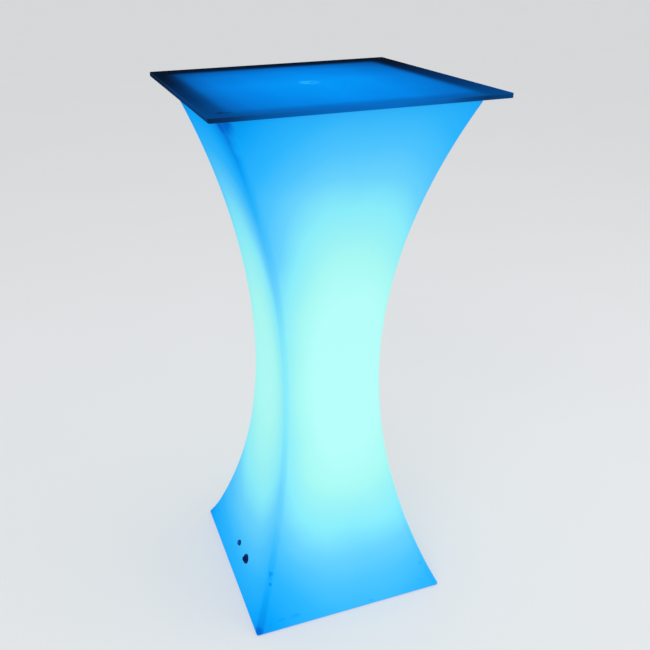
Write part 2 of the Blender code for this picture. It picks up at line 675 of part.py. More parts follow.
def make_light(white_board, chip_look, clear, steel, table):
    """The round light board on its posts, its chips, and the dome over them."""
    board = piece(
        "led_board",
        rods("led_board", [(0, 0)], LED_BOARD_RADIUS, LED_BOARD_BOTTOM, LED_BOARD_TOP, ROUND_STEPS),
        white_board,
        table,
    )
    through = (LED_BOARD_BOTTOM - CUT_OVERRUN, LED_BOARD_TOP + CUT_OVERRUN)
    hole_radius = SMALL_SCREW_RADIUS + SEAT_GAP
    combine(board, "DIFFERENCE", rods("led_board_holes", LED_SCREWS, hole_radius, *through, SCREW_STEPS))

    lens_base = LIGHT_CHIP_HEIGHT / 2
    outline = [(0, 0), (LIGHT_CHIP_RADIUS, 0), (LIGHT_CHIP_RADIUS, lens_base)]
    for step in range(1, FILLET_STEPS + 1):
        angle = math.pi / 2 * step / FILLET_STEPS
        outline.append((LIGHT_CHIP_RADIUS * math.cos(angle), lens_base + lens_base * math.sin(angle)))
    outline[-1] = (0, LIGHT_CHIP_HEIGHT)
    chip = turned("led_chip", outline, SCREW_STEPS)
    places = [(0, 0), *on_circle((DOME_RADIUS - DOME_WALL) / 2, 4, 45)]
    for number, (x, y) in enumerate(places, 1):
        piece(f"led_chip_{number}", chip, chip_look, table, (x, y, LED_BOARD_TOP + SEAT_GAP))

    flange_top = DOME_BOTTOM + DOME_WALL
    inner_radius = DOME_RADIUS - DOME_WALL
    outer, inner = [], []
    for step in range(DOME_STEPS + 1):
        angle = math.pi / 2 * step / DOME_STEPS
        rise = (DOME_HEIGHT - DOME_WALL) * math.sin(angle)
        outer.append((DOME_RADIUS * math.cos(angle), flange_top + rise))
        inner.append((inner_radius * math.cos(angle), DOME_BOTTOM + rise))
    outer[-1] = (0, DOME_BOTTOM + DOME_HEIGHT)
    inner[-1] = (0, DOME_BOTTOM + DOME_HEIGHT - DOME_WALL)
    outline = [*inner[::-1], (LED_BOARD_RADIUS, DOME_BOTTOM), (LED_BOARD_RADIUS, flange_top), *outer]
    dome = piece("diffuser_dome", turned("diffuser_dome", outline, ROUND_STEPS), clear, table)
    through = (DOME_BOTTOM - CUT_OVERRUN, flange_top + CUT_OVERRUN)
    combine(dome, "DIFFERENCE", rods("dome_holes", LED_SCREWS, hole_radius, *through, SCREW_STEPS))

    reach = DOME_WALL + BOARD_THICKNESS + SMALL_SCREW_LENGTH
    head = (SMALL_HEAD_RADIUS, SMALL_HEAD_HEIGHT)
    dome_screw = hex_screw("dome_screw", SMALL_SCREW_RADIUS, *head, reach, steel)
    small_screws("dome_screw", LED_SCREWS, flange_top + SEAT_GAP, dome_screw, steel, table)


def make_battery(wrap, steel, screw, table):
    """The wrapped pack of two cells, and the strap that holds it down."""
    middle = BATTERY_BOTTOM + BATTERY_HEIGHT / 2
    size = (BATTERY_LENGTH, BATTERY_WIDTH, BATTERY_HEIGHT)
    pack = piece("battery_pack", block("battery_pack", size, (0, 0, middle)), wrap, table)
    soften(pack, BATTERY_HEIGHT * BATTERY_ROUND_SHARE, BATTERY_ROUND_STEPS)

    under, over = STRAP_UNDER, STRAP_UNDER + STRAP_THICKNESS
    tab_under, tab_over = STRAP_TAB_UNDER, STRAP_TAB_UNDER + STRAP_THICKNESS
    leg = STRAP_LEG - STRAP_THICKNESS
    section = [(leg, under), (leg, tab_under), (STRAP_REACH, tab_under), (STRAP_REACH, tab_over)]
    section += [(STRAP_LEG, tab_over), (STRAP_LEG, over)]
    shape = bmesh.new()
    outline = section + [(-y, z) for y, z in reversed(section)]
    face = shape.faces.new([shape.verts.new((-STRAP_WIDTH / 2, y, z)) for y, z in outline])
    swept = bmesh.ops.extrude_face_region(shape, geom=[face])["geom"]
    moved = [part for part in swept if isinstance(part, bmesh.types.BMVert)]
    bmesh.ops.translate(shape, verts=moved, vec=(STRAP_WIDTH, 0, 0))
    strap = piece("battery_strap", mesh_of(shape, "battery_strap"), steel, table)
    through = (tab_under - CUT_OVERRUN, tab_over + CUT_OVERRUN)
    holes = rods("strap_holes", STRAP_SCREWS, SMALL_SCREW_RADIUS + SEAT_GAP, *through, SCREW_STEPS)
    combine(strap, "DIFFERENCE", holes)
    small_screws("strap_screw", STRAP_SCREWS, tab_over + SEAT_GAP, screw, steel, table)


def make_control_board(board_look, steel, screw, table):
    """The charger and driver board with its larger parts, on two posts."""
    bottom = CONTROL_POST_TOP + SEAT_GAP
    size = (CONTROL_BOARD_LENGTH, CONTROL_BOARD_DEPTH, BOARD_THICKNESS)
    at = (0, CONTROL_BOARD_Y, bottom + BOARD_THICKNESS / 2)
    board = piece("control_board", block("control_board", size, at), board_look, table, smooth=False)
    root = CONTROL_BOARD_TOP - BOARD_THICKNESS / 2
    aside = CONTROL_BOARD_LENGTH * COIL_PLACE_SHARE
    behind = CONTROL_BOARD_DEPTH * COIL_PLACE_SHARE
    coil_place = [(aside, CONTROL_BOARD_Y - behind)]
    coil = rods("board_coil", coil_place, COIL_RADIUS, root, CONTROL_BOARD_TOP + COIL_HEIGHT)
    combine(board, "UNION", coil)
    chip_forward = CONTROL_BOARD_DEPTH * CHIP_PLACE_SHARE
    parts = (
        ("board_chip", CHIP_PACKAGE_SIDE, CHIP_PACKAGE_SIDE, CHIP_PACKAGE_HEIGHT, 0, chip_forward),
        ("board_terminal", TERMINAL_DEPTH, TERMINAL_LENGTH, TERMINAL_HEIGHT, -aside, -BOARD_MARGIN),
    )
    for name, length, depth, height, x, y in parts:
        centre = (x, CONTROL_BOARD_Y + y, (root + CONTROL_BOARD_TOP + height) / 2)
        combine(board, "UNION", block(name, (length, depth, CONTROL_BOARD_TOP + height - root), centre))
    through = (bottom - CUT_OVERRUN, CONTROL_BOARD_TOP + CUT_OVERRUN)
    holes = rods("board_holes", CONTROL_SCREWS, SMALL_SCREW_RADIUS + SEAT_GAP, *through, SCREW_STEPS)
    combine(board, "DIFFERENCE", holes)
    small_screws("board_screw", CONTROL_SCREWS, CONTROL_BOARD_TOP + SEAT_GAP, screw, steel, table)


def hex_nut(name, width, thickness, bore, look, frame):
    """A six-sided nut against the inside of the wall."""
    corner = width / 2 / math.cos(math.pi / HEX_SIDES)
    nut = piece(name, rods(name, [(0, 0)], corner, NUT_TOP - thickness, NUT_TOP, HEX_SIDES), look, frame)
    through = (NUT_TOP - thickness - CUT_OVERRUN, NUT_TOP + CUT_OVERRUN)
    combine(nut, "DIFFERENCE", rods(name + "_bore", [(0, 0)], bore, *through))


def seal_ring(name, inner, outer, look, frame):
    top = SEAL_BOTTOM + SEAL_THICKNESS
    outline = [(inner, SEAL_BOTTOM), (outer, SEAL_BOTTOM), (outer, top), (inner, top)]
    piece(name, turned(name, outline), look, frame)


def make_switch(plastic, rubber, steel, frame):
    """A push switch: flanged barrel, sprung domed button, seal and nut."""
    chamber = BUTTON_RADIUS + BUTTON_SHOULDER + SEAT_GAP
    mouth = BUTTON_RADIUS + SEAT_GAP
    outline = [
        (0, SWITCH_BACK),
        (SWITCH_BARREL_RADIUS, SWITCH_BACK),
        (SWITCH_BARREL_RADIUS, FLANGE_BOTTOM),
        (SWITCH_FLANGE_RADIUS, FLANGE_BOTTOM),
        (SWITCH_FLANGE_RADIUS, SWITCH_FACE - FLANGE_EDGE),
        (SWITCH_FLANGE_RADIUS - FLANGE_EDGE, SWITCH_FACE),
        (mouth, SWITCH_FACE),
        (mouth, SWITCH_FACE - BARREL_LIP),
        (chamber, SWITCH_FACE - BARREL_LIP),
        (chamber, SWITCH_BORE_FLOOR),
        (0, SWITCH_BORE_FLOOR),
    ]
    piece("switch_barrel", turned("switch_barrel", outline), plastic, frame)

    shoulder = BUTTON_RADIUS + BUTTON_SHOULDER
    dome = BUTTON_RADIUS * BUTTON_DOME_SHARE
    straight = SWITCH_FACE + BUTTON_RISE - dome
    outline = [
        (0, BUTTON_BOTTOM),
        (shoulder, BUTTON_BOTTOM),
        (shoulder, SHOULDER_TOP),
        (BUTTON_RADIUS, SHOULDER_TOP),
        (BUTTON_RADIUS, straight),
    ]
    for step in range(1, FILLET_STEPS + 1):
        angle = math.pi / 2 * step / FILLET_STEPS
        outline.append((BUTTON_RADIUS * math.cos(angle), straight + dome * math.sin(angle)))
    outline[-1] = (0, SWITCH_FACE + BUTTON_RISE)
    piece("power_button", turned("power_button", outline), rubber, frame)

    coil = []
    for number in range(SPRING_TURNS * SPRING_POINTS + 1):
        share = number / (SPRING_TURNS * SPRING_POINTS)
        angle = math.tau * SPRING_TURNS * share
        rise = (SPRING_LENGTH - SPRING_WIRE) * share
        height = SPRING_BOTTOM + SPRING_WIRE / 2 + rise
        coil.append(Vector((SPRING_RADIUS * math.cos(angle), SPRING_RADIUS * math.sin(angle), height)))
    tube("button_spring", coil, SPRING_WIRE / 2, steel, frame)
    bore = SWITCH_BARREL_RADIUS + SEAT_GAP
    seal_ring("switch_seal", bore, SWITCH_FLANGE_RADIUS, rubber, frame)
    hex_nut("switch_nut", SWITCH_NUT_WIDTH, SWITCH_NUT_THICKNESS, bore, plastic, frame)


def make_socket(plastic, rubber, brass, frame):
    """A charging socket: flanged barrel, centre pin, seal, nut and rubber dust plug."""
    pin_hole = PIN_RADIUS + SEAT_GAP
    outline = [
        (pin_hole, SOCKET_BACK),
        (SOCKET_BARREL_RADIUS, SOCKET_BACK),
        (SOCKET_BARREL_RADIUS, FLANGE_BOTTOM),
        (SOCKET_FLANGE_RADIUS, FLANGE_BOTTOM),
        (SOCKET_FLANGE_RADIUS, SOCKET_FACE - FLANGE_EDGE),
        (SOCKET_FLANGE_RADIUS - FLANGE_EDGE, SOCKET_FACE),
        (SOCKET_BORE_RADIUS, SOCKET_FACE),
        (SOCKET_BORE_RADIUS, SOCKET_BORE_FLOOR),
        (pin_hole, SOCKET_BORE_FLOOR),
    ]
    piece("socket_barrel", turned("socket_barrel", outline), plastic, frame)

    tip, tail = SOCKET_FACE - PIN_SINK, SOCKET_BACK - PIN_TAG
    end = PIN_RADIUS / 2
    outline = [(0, tail), (PIN_RADIUS, tail), (PIN_RADIUS, tip - end), (end, tip), (0, tip)]
    piece("socket_pin", turned("socket_pin", outline, SCREW_STEPS), brass, frame)

    cap_under = SOCKET_FACE + SEAT_GAP
    stem_end = cap_under - PLUG_STEM_LENGTH
    stem_radius = SOCKET_BORE_RADIUS - SEAT_GAP
    hollow = PIN_RADIUS + SEAT_GAP
    cap_top = cap_under + PLUG_CAP_HEIGHT
    outline = [
        (hollow, stem_end),
        (stem_radius, stem_end),
        (stem_radius, cap_under),
        (PLUG_CAP_RADIUS, cap_under),
        (PLUG_CAP_RADIUS, cap_top - FLANGE_EDGE),
        (PLUG_CAP_RADIUS - FLANGE_EDGE, cap_top - FLANGE_EDGE / 2),
        (0, cap_top),
        (0, tip + SEAT_GAP),
        (hollow, tip + SEAT_GAP),
    ]
    piece("dust_plug", turned_from_axis("dust_plug", outline), rubber, frame)
    bore = SOCKET_BARREL_RADIUS + SEAT_GAP
    seal_ring("socket_seal", bore, SOCKET_FLANGE_RADIUS, rubber, frame)
    hex_nut("socket_nut", SOCKET_NUT_WIDTH, SOCKET_NUT_THICKNESS, bore, plastic, frame)


def make_leads(look, table, switch_frame, socket_frame):
    """The four inner leads, which end at the control board."""
    over_spigot = COVER_TOP + SPIGOT_HEIGHT + LEAD_RADIUS + CLEARANCE
    board_edge = -CONTROL_BOARD_LENGTH / 2 + LEAD_RADIUS
    landing = CONTROL_BOARD_TOP + LEAD_RADIUS + SEAT_GAP
    ends = (
        ("switch_lead", switch_frame, SWITCH_BACK, -CONTROL_BOARD_DEPTH * SWITCH_LEAD_END_SHARE),
        ("socket_lead", socket_frame, SOCKET_BACK - PIN_TAG, 0),
    )
    for name, frame, back, shift in ends:
        inward = frame.matrix_local.to_3x3() @ Vector((0, 0, -1))
        start = frame.location + inward * (SEAT_GAP - back)
        end_y = CONTROL_BOARD_Y + shift
        end = Vector((board_edge, end_y, landing))
        leave = start + inward * LEAD_STRAIGHT
        cross_x = -(SPIGOT_RADIUS + CLEARANCE)
        cross = Vector((cross_x, start.y + (end_y - start.y) * SAG_SHARE, over_spigot))
        sag = (leave + cross) / 2
        sag.z = leave.z + (cross.z - leave.z) * SAG_SHARE
        inside = Vector(((cross_x + board_edge) / 2, end_y, over_spigot))
        tube(name, smooth_route([start, leave, sag, cross, inside, end]), LEAD_RADIUS, look, table)

    x = CONTROL_BOARD_LENGTH * COIL_PLACE_SHARE
    board_rear = CONTROL_BOARD_Y + CONTROL_BOARD_DEPTH / 2
    low = CONTROL_BOARD_TOP + THIN_LEAD_RADIUS + SEAT_GAP
    start = Vector((x, board_rear - BOARD_MARGIN - SMALL_HEAD_RADIUS, low))
    rise = Vector((0, 0, BOARD_MARGIN))
    battery_end = Vector((x, -BATTERY_WIDTH / 2 - SEAT_GAP, low))
    middle = (start + battery_end) / 2 + rise
    tube("battery_lead", smooth_route([start, middle, battery_end]), THIN_LEAD_RADIUS, look, table)
    led_end = Vector((-x, -LED_BOARD_RADIUS / 2, LED_BOARD_BOTTOM - SEAT_GAP))
    led_start = Vector((-x, board_rear - BOARD_MARGIN - SMALL_HEAD_RADIUS, low))
    below_end = led_end - Vector((0, 0, CLEARANCE))
    bend = (led_start + below_end) / 2
    tube("led_lead", smooth_route([led_start, bend, below_end, led_end]), THIN_LEAD_RADIUS, look, table)


def control_frame(name, table, offset):
    """An empty on the left side's face, with its Z axis straight out of the wall."""
    lean_in = -lean(CONTROL_HEIGHT)
    at = (-half_width(CONTROL_HEIGHT), offset, CONTROL_HEIGHT)
    return empty(name, table, at, (0, math.atan(lean_in) - math.pi / 2, 0))


def main():
    clear_scene()
    lit_plastic = finish("lit_plastic", (0.30, 0.78, 0.97), 0.45, transmission=0.2, glow=0.5)
    frosted_glass = finish("frosted_glass", (0.02, 0.30, 0.75), 0.30, transmission=0.6, glow=0.1)
    clear_plastic = finish("clear_plastic", (0.75, 0.90, 0.97), 0.15, transmission=0.8)
    white_plastic = finish("white_plastic", (0.80, 0.82, 0.83), 0.50)
    black_plastic = finish("black_plastic", (0.02, 0.02, 0.03), 0.40)
    black_rubber = finish("black_rubber", (0.02, 0.02, 0.025), 0.80)
    grey_foam = finish("grey_foam", (0.12, 0.12, 0.13), 0.95)
    steel = finish("steel", (0.60, 0.60, 0.62), 0.30, metallic=1)
    brass = finish("brass", (0.75, 0.58, 0.28), 0.35, metallic=1)
    green_board = finish("green_board", (0.05, 0.25, 0.12), 0.45)
    white_board = finish("white_board", (0.85, 0.86, 0.86), 0.40)
    chip_look = finish("light_chip", (0.95, 0.90, 0.55), 0.30, glow=0.5)
    battery_wrap = finish("battery_wrap", (0.08, 0.18, 0.42), 0.35)
    lead_jacket = finish("lead_jacket", (0.03, 0.03, 0.03), 0.60)

    table = empty("table_frame", None, (0, 0, BODY_BOTTOM))
    switch_frame = control_frame("switch_frame", table, SWITCH_OFFSET)
    socket_frame = control_frame("socket_frame", table, SOCKET_OFFSET)
    controls = (
        (switch_frame, SWITCH_FLANGE_RADIUS, SWITCH_BARREL_RADIUS),
        (socket_frame, SOCKET_FLANGE_RADIUS, SOCKET_BARREL_RADIUS),
    )
    make_body(lit_plastic, table, controls)
    make_glass(frosted_glass, table)
    make_pads(clear_plastic, table)
    make_feet(black_rubber, steel, table)
    make_cover(white_plastic, grey_foam, steel, brass, table)
    make_light(white_board, chip_look, clear_plastic, steel, table)
    short_screw = hex_screw(
        "short_screw", SMALL_SCREW_RADIUS, SMALL_HEAD_RADIUS, SMALL_HEAD_HEIGHT, STRAP_POST_HEIGHT, steel
    )
    make_battery(battery_wrap, steel, short_screw, table)
    make_control_board(green_board, steel, short_screw, table)
    make_switch(black_plastic, black_rubber, steel, switch_frame)
    make_socket(black_plastic, black_rubber, brass, socket_frame)
    bpy.context.view_layer.update()
    make_leads(lead_jacket, table, switch_frame, socket_frame)


main()
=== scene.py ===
"""The dressed light-up bar table, in metres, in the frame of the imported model."""

import math
from functools import partial

import bmesh
import bpy
from mathutils import Matrix, Vector


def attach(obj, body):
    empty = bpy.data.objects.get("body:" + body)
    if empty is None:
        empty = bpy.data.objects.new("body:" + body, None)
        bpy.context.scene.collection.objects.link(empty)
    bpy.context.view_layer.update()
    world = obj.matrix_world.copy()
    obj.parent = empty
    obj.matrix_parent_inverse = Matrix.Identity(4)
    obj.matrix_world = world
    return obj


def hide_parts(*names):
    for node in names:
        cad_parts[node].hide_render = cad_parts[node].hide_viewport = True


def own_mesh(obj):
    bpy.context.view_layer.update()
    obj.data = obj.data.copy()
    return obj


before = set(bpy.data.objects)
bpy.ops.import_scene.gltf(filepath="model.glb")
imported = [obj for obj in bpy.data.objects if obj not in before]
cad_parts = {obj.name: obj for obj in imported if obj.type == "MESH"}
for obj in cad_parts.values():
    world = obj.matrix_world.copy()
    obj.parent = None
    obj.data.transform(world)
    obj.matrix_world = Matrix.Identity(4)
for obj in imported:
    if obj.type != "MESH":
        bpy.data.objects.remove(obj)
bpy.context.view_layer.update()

# The body, with heights measured from its underside
BODY_HEIGHT = 1.088
BASE_WIDTH = 0.434
WAIST_WIDTH = 0.214
TOP_WIDTH = 0.458
WAIST_HEIGHT = 0.523
UPRIGHT_EDGE_RADIUS = 0.016
TOP_EDGE_RADIUS = 0.006
BASE_EDGE_RADIUS = 0.0015
WALL = 0.004
BODY_BOTTOM = 0.002
BODY_TOP = BODY_BOTTOM + BODY_HEIGHT
# Towards the foot, the upright arrises sharpen to this share of their radius
LEAST_CORNER_SHARE = 0.25
FLARE_HEIGHT = 0.055
FLARE_RINGS = 12

# Gaps and overruns
SEAT_GAP = 0.0003
CUT_OVERRUN = 0.005
FUSE_DEPTH = 0.001
MERGE_DISTANCE = 0.0000004
WELD_DISTANCE = 0.000004
END_ROOM = 0.002

# The glass top and what it rests on, with heights from the floor
GLASS_HALF = 0.2575
GLASS_UNDER = 1.092
GLASS_TOP = 1.1
GLASS_CORNER_RADIUS = 0.005
GLASS_ARRIS = 0.0008
GLASS_ARRIS_SHARE = 0.25
PAD_RADIUS = 0.007
PAD_PLACE = 0.195
CUP_RADIUS = 0.02
CUP_STEM_RADIUS = 0.0045
CUP_STEM_LENGTH = 0.011
CUP_NECK = 0.0065
CUP_LIP = 0.0006

# The floor of the body, with heights measured from its underside
FOOT_PLACE = 0.167
FOOT_RADIUS = 0.016
FOOT_TOP = 0.0017
FOOT_HEAD_RADIUS = 0.004
FOOT_HEAD_HEIGHT = 0.0016
FOOT_HEAD_TOP = 0.0001
FOOT_SCREW_RADIUS = 0.002
FOOT_SCREW_LENGTH = 0.012
FOOT_BOSS_TOP = 0.0171
FOOT_POCKET_TOP = 0.002
BOSS_WALL = 0.003
SPIGOT_BORE = 0.07204
SPIGOT_RADIUS = 0.07454
SPIGOT_HEIGHT = 0.01
OPENING_RADIUS = 0.07604
POCKET_RADIUS = 0.09604
POCKET_DEPTH = 0.01
HUB_RADIUS = 0.10004
HUB_TOP = 0.014
COVER_RADIUS = 0.09504
COVER_BOTTOM = 0.0049
COVER_TOP = 0.0079
LEAST_BORE_FLOOR = 0.001
COVER_SCREW_CIRCLE = 0.08604
COVER_SCREW_RADIUS = 0.002
COVER_HEAD_RADIUS = 0.0038
COVER_HEAD_HEIGHT = 0.0022
COVER_SCREW_LENGTH = 0.0134
INSERT_RADIUS = 0.0035
INSERT_TOP = 0.0183
INSERT_BOSS_TOP = 0.0233
SMALL_SCREW_RADIUS = 0.0015
SMALL_SCREW_LENGTH = 0.008
POST_RADIUS = 0.0048
LED_POST_CIRCLE = 0.04663
LED_POST_TOP = 0.0307
STRAP_POST_OFFSET = 0.0265
STRAP_POST_TOP = 0.0119
CONTROL_POST_X, CONTROL_POST_Y = 0.0172, -0.0393
CONTROL_POST_TOP = 0.0139
HEX_RADIUS_SHARE = 0.5
HEX_DEPTH_SHARE = 0.6
# Ring grooves: their radii, and half the mouth, half the bottom and the depth of each
FOOT_GROOVES, FOOT_GROOVE = (0.0082, 0.0118), (0.0005, 0.0003, 0.0004)
COVER_GROOVES, COVER_GROOVE = (0.03, 0.045, 0.06, 0.075), (0.001, 0.0006, 0.0006)

# The controls, with heights above the wall's face
CONTROL_HEIGHT = 0.064
SWITCH_OFFSET = -0.0525
SOCKET_OFFSET = 0.004
SPOT_FACE_DEPTH = 0.0008
SPOT_FACE_MARGIN = 0.001
SEAL_BOTTOM = -0.0005
SEAL_TOP = 0.0007
FLANGE_BOTTOM = 0.001
HOLE_CLEARANCE = 0.0004
SWITCH_FLANGE_RADIUS = 0.0105
SWITCH_FACE = 0.0032
SWITCH_BARREL_RADIUS = 0.008
SWITCH_BACK = -0.021
BARREL_LIP = 0.003
BUTTON_RADIUS = 0.0058
BUTTON_SHOULDER_RADIUS = 0.0068
BUTTON_SHOULDER_TOP = -0.0001
BUTTON_BOTTOM = -0.0016
BUTTON_TOP = 0.0092
BUTTON_DOME_SHARE = 0.65
SPRING_BOTTOM = -0.0099
SPRING_TOP = -0.0019
SPRING_RADIUS = 0.004
SPRING_WIRE_RADIUS = 0.0004
SPRING_TURNS = 5
SOCKET_FLANGE_RADIUS = 0.0065
SOCKET_FACE = 0.0024
SOCKET_BARREL_RADIUS = 0.005
SOCKET_BACK = -0.015
SOCKET_BORE_RADIUS = 0.0031
SOCKET_BORE_DEPTH = 0.01
PIN_RADIUS = 0.00105
PIN_TIP = 0.0009
PLUG_CAP_RADIUS = 0.0056
PLUG_CAP_UNDER = 0.0027
PLUG_CAP_TOP = 0.0043
PLUG_STEM_LENGTH = 0.006
PLUG_EDGE_DROP = 0.0003
PLUG_DISH_RADIUS = 0.003
PLUG_DISH_FLOOR_RADIUS = 0.0022
PLUG_DISH_DEPTH = 0.0004

# How far from a turned corner its rounding starts
HAIR_ROUND = 0.0002
FINE_ROUND = 0.0003
HEAD_ROUND = 0.0004
SMALL_ROUND = 0.0005
PAD_ROUND = 0.0006
CAP_ROUND = 0.0007
SOFT_ROUND = 0.0008
FLANGE_ROUND = 0.001
STEM_ROUND = 0.002

# Counts
SIDE_STEPS = 72
FILLET_STEPS = 6
CORNER_STEPS = 10
FACE_SHARES = (0.02, 0.14, 0.38, 0.62, 0.86, 0.98)
ROUND_STEPS = 96
SMALL_STEPS = 48
DOME_STEPS = 12
ROUNDING_STEPS = 4
HEX_SIDES = 6
COIL_STEPS = 32
WIRE_STEPS = 12

# Shading: the angle of a sharp edge, the pull of large faces, and the greatest upward part
# of a normal on the glass's edge and on its arrises
SHARP_ANGLE = 35
LARGE_FACE_PULL = 60
EDGE_NORMAL, ARRIS_NORMAL = 0.1, 0.99

# Places
SQUARE_CORNERS = ((1, 1), (-1, 1), (-1, -1), (1, -1))
ON_AXIS = ((0, 0),)
UPWARD = Vector((0, 0, 1))
AT_ORIGIN = Matrix.Identity(4)
BODY_PLACE = Matrix.Translation((0, 0, BODY_BOTTOM))

# The camera, fitted to the photograph
IMAGE_SIDE = 650
EYE = (-0.50262, -1.3649, 1.32024)
EYE_RIGHT = (0.94408, -0.32931, -0.01653)
EYE_UP = (0.15725, 0.40563, 0.90041)
EYE_AHEAD = (0.28981, 0.85265, -0.43473)
FOCAL_PIXELS = 768.3
MIDDLE_X, MIDDLE_Y = 297.6, 318.8
SENSOR_WIDTH = 36
CLIP_NEAR, CLIP_FAR = 0.01, 200

# The room: its floor, its lamps as name, place, size and power, and its even light, with what is
# added to that where the room itself is seen
FLOOR_HALF = 40
FLOOR_PALE_SHARE = 0.4
FLOOR_COLOURS, FLOOR_SEEN = ((0.74, 0.75, 0.76), (0.78, 0.79, 0.8)), (0.86, 0.87, 0.88, 1)
FLOOR_CLOUD, FLOOR_GRAIN, FLOOR_BUMP = (1.6, 3), (60, 3), (0.1, 0.0005)
LAMPS = (
    ("key", (-2.2, -2.6, 3.0), 2.4, 36),
    ("fill", (2.8, -1.4, 2.0), 2.6, 20),
    ("top", (0.3, -0.2, 3.6), 2.4, 16),
)
LAMP_TARGET = (0, 0, 0.6)
ROOM_LIGHT, SEEN_LIGHT = 0.72, 0.1
ROOM_COLOUR = (0.97, 0.985, 1.0, 1)


# Shapes

def side_arc(height):
    """Radius of the side's arc at a height, and the height above the waist."""
    if height < WAIST_HEIGHT:
        drop, reach = WAIST_HEIGHT, (BASE_WIDTH - WAIST_WIDTH) / 2
    else:
        drop, reach = BODY_HEIGHT - WAIST_HEIGHT, (TOP_WIDTH - WAIST_WIDTH) / 2
    return (drop**2 + reach**2) / (2 * reach), height - WAIST_HEIGHT


def lean(height):
    """How far the side moves out for each metre up, which is negative below the waist."""
    radius, away = side_arc(height)
    return away / math.sqrt(radius**2 - away**2)


def half_width(height, inset=0):
    """Half the width of the body at a height, or of a surface that lies inset inside it."""
    radius, away = side_arc(height)
    inward = inset * math.hypot(1, lean(height))
    return WAIST_WIDTH / 2 + radius - math.sqrt(radius**2 - away**2) - inward


def mesh_of(shape, name):
    bmesh.ops.recalc_face_normals(shape, faces=shape.faces)
    mesh = bpy.data.meshes.new(name)
    shape.to_mesh(mesh)
    shape.free()
    return mesh


def square_ring(half, radius, height):
    """Points of a square with rounded corners, anticlockwise, with some along each side."""
    corners = []
    for quarter, (side_x, side_y) in enumerate(SQUARE_CORNERS):
        arc = []
        for step in range(CORNER_STEPS + 1):
            angle = math.pi / 2 * (quarter + step / CORNER_STEPS)
            x = side_x * (half - radius) + radius * math.cos(angle)
            y = side_y * (half - radius) + radius * math.sin(angle)
            arc.append(Vector((x, y, height)))
        corners.append(arc)
    ring = []
    for arc, following in zip(corners, corners[1:] + corners[:1]):
        ring += arc
        ring += [arc[-1].lerp(following[0], share) for share in FACE_SHARES]
    return ring


def lofted(name, rings):
    """A closed mesh through rings of equally many points, from the lowest up."""
    shape = bmesh.new()
    loops = [[shape.verts.new(point) for point in ring] for ring in rings]
    for lower, upper in zip(loops, loops[1:]):
        for left in range(len(lower)):
            right = (left + 1) % len(lower)
            shape.faces.new((lower[left], lower[right], upper[right], upper[left]))
    shape.faces.new(loops[0])
    shape.faces.new(loops[-1])
    return mesh_of(shape, name)


def edge_round(corner_half, corner_height, lean_out, radius, upward):
    """(half width, height, inset) points round a flat end's edge, from the side to the flat."""
    if radius <= 0:
        return [(corner_half, corner_height, 0)]
    centre_half = corner_half - radius * (math.hypot(1, lean_out) + lean_out)
    centre_height = corner_height - upward * radius
    first = -math.atan(lean_out)
    points = []
    for step in range(FILLET_STEPS + 1):
        angle = first + (math.pi / 2 - first) * step / FILLET_STEPS
        inset = radius * (1 - math.cos(angle)) if angle > 0 else 0
        half = centre_half + radius * math.cos(angle)
        points.append((half, centre_height + upward * radius * math.sin(angle), inset))
    return points


def corner_radius(height):
    """Radius of the body's upright arrises, which grow sharper towards the foot."""
    share = min(height / FLARE_HEIGHT, 1)
    grown_share = LEAST_CORNER_SHARE + (1 - LEAST_CORNER_SHARE) * share * (2 - share)
    return UPRIGHT_EDGE_RADIUS * grown_share


def body_surface(name, inset):
    """The body's outside, or the surface that lies inset inside it."""
    low, high = inset, BODY_HEIGHT - inset
    base = edge_round(half_width(low, inset), low, -lean(low), BASE_EDGE_RADIUS - inset, -1)[::-1]
    top = edge_round(half_width(high, inset), high, lean(high), TOP_EDGE_RADIUS - inset, 1)
    first, last = base[-1][1], top[0][1]
    heights = [first + (last - first) * step / SIDE_STEPS for step in range(1, SIDE_STEPS)]
    flare = [first + FLARE_HEIGHT * step / FLARE_RINGS for step in range(1, FLARE_RINGS)]
    heights = flare + [height for height in heights if height > flare[-1]]
    side = [(half_width(height, inset), height, 0) for height in heights]
    least_radius = (UPRIGHT_EDGE_RADIUS - inset) * LEAST_CORNER_SHARE
    rings = []
    for half, height, trim in base + side + top:
        radius = max(corner_radius(height) - inset - trim, least_radius)
        rings.append(square_ring(half, radius, height))
    return lofted(name, rings)


def rounded(outline):
    """The outline's points, with each corner that carries a radius as its third number rounded."""
    count = len(outline)
    points = []
    for number, (reach, height, *rest) in enumerate(outline):
        corner = Vector((reach, height))
        if not rest:
            points.append(tuple(corner))
            continue
        before = Vector(outline[number - 1][:2])
        after = Vector(outline[(number + 1) % count][:2])
        start = corner + (before - corner).normalized() * rest[0]
        end = corner + (after - corner).normalized() * rest[0]
        for step in range(ROUNDING_STEPS + 1):
            share = step / ROUNDING_STEPS
            points.append(tuple(start.lerp(corner, share).lerp(corner.lerp(end, share), share)))
    return points


def turned(name, outline, steps=SMALL_STEPS):
    """A mesh turned about Z from an outline, closed on the axis or on itself."""
    shape = bmesh.new()
    outline = rounded(outline)
    points = [shape.verts.new((reach, 0, height)) for reach, height in outline]
    pairs = list(zip(points, points[1:]))
    if outline[0][0] > 0:
        pairs.append((points[-1], points[0]))
    edges = [shape.edges.new(pair) for pair in pairs]
    around = {"cent": (0, 0, 0), "axis": (0, 0, 1), "angle": math.tau, "steps": steps}
    bmesh.ops.spin(shape, geom=points + edges, use_merge=True, **around)
    bmesh.ops.remove_doubles(shape, verts=shape.verts, dist=MERGE_DISTANCE)
    return mesh_of(shape, name)


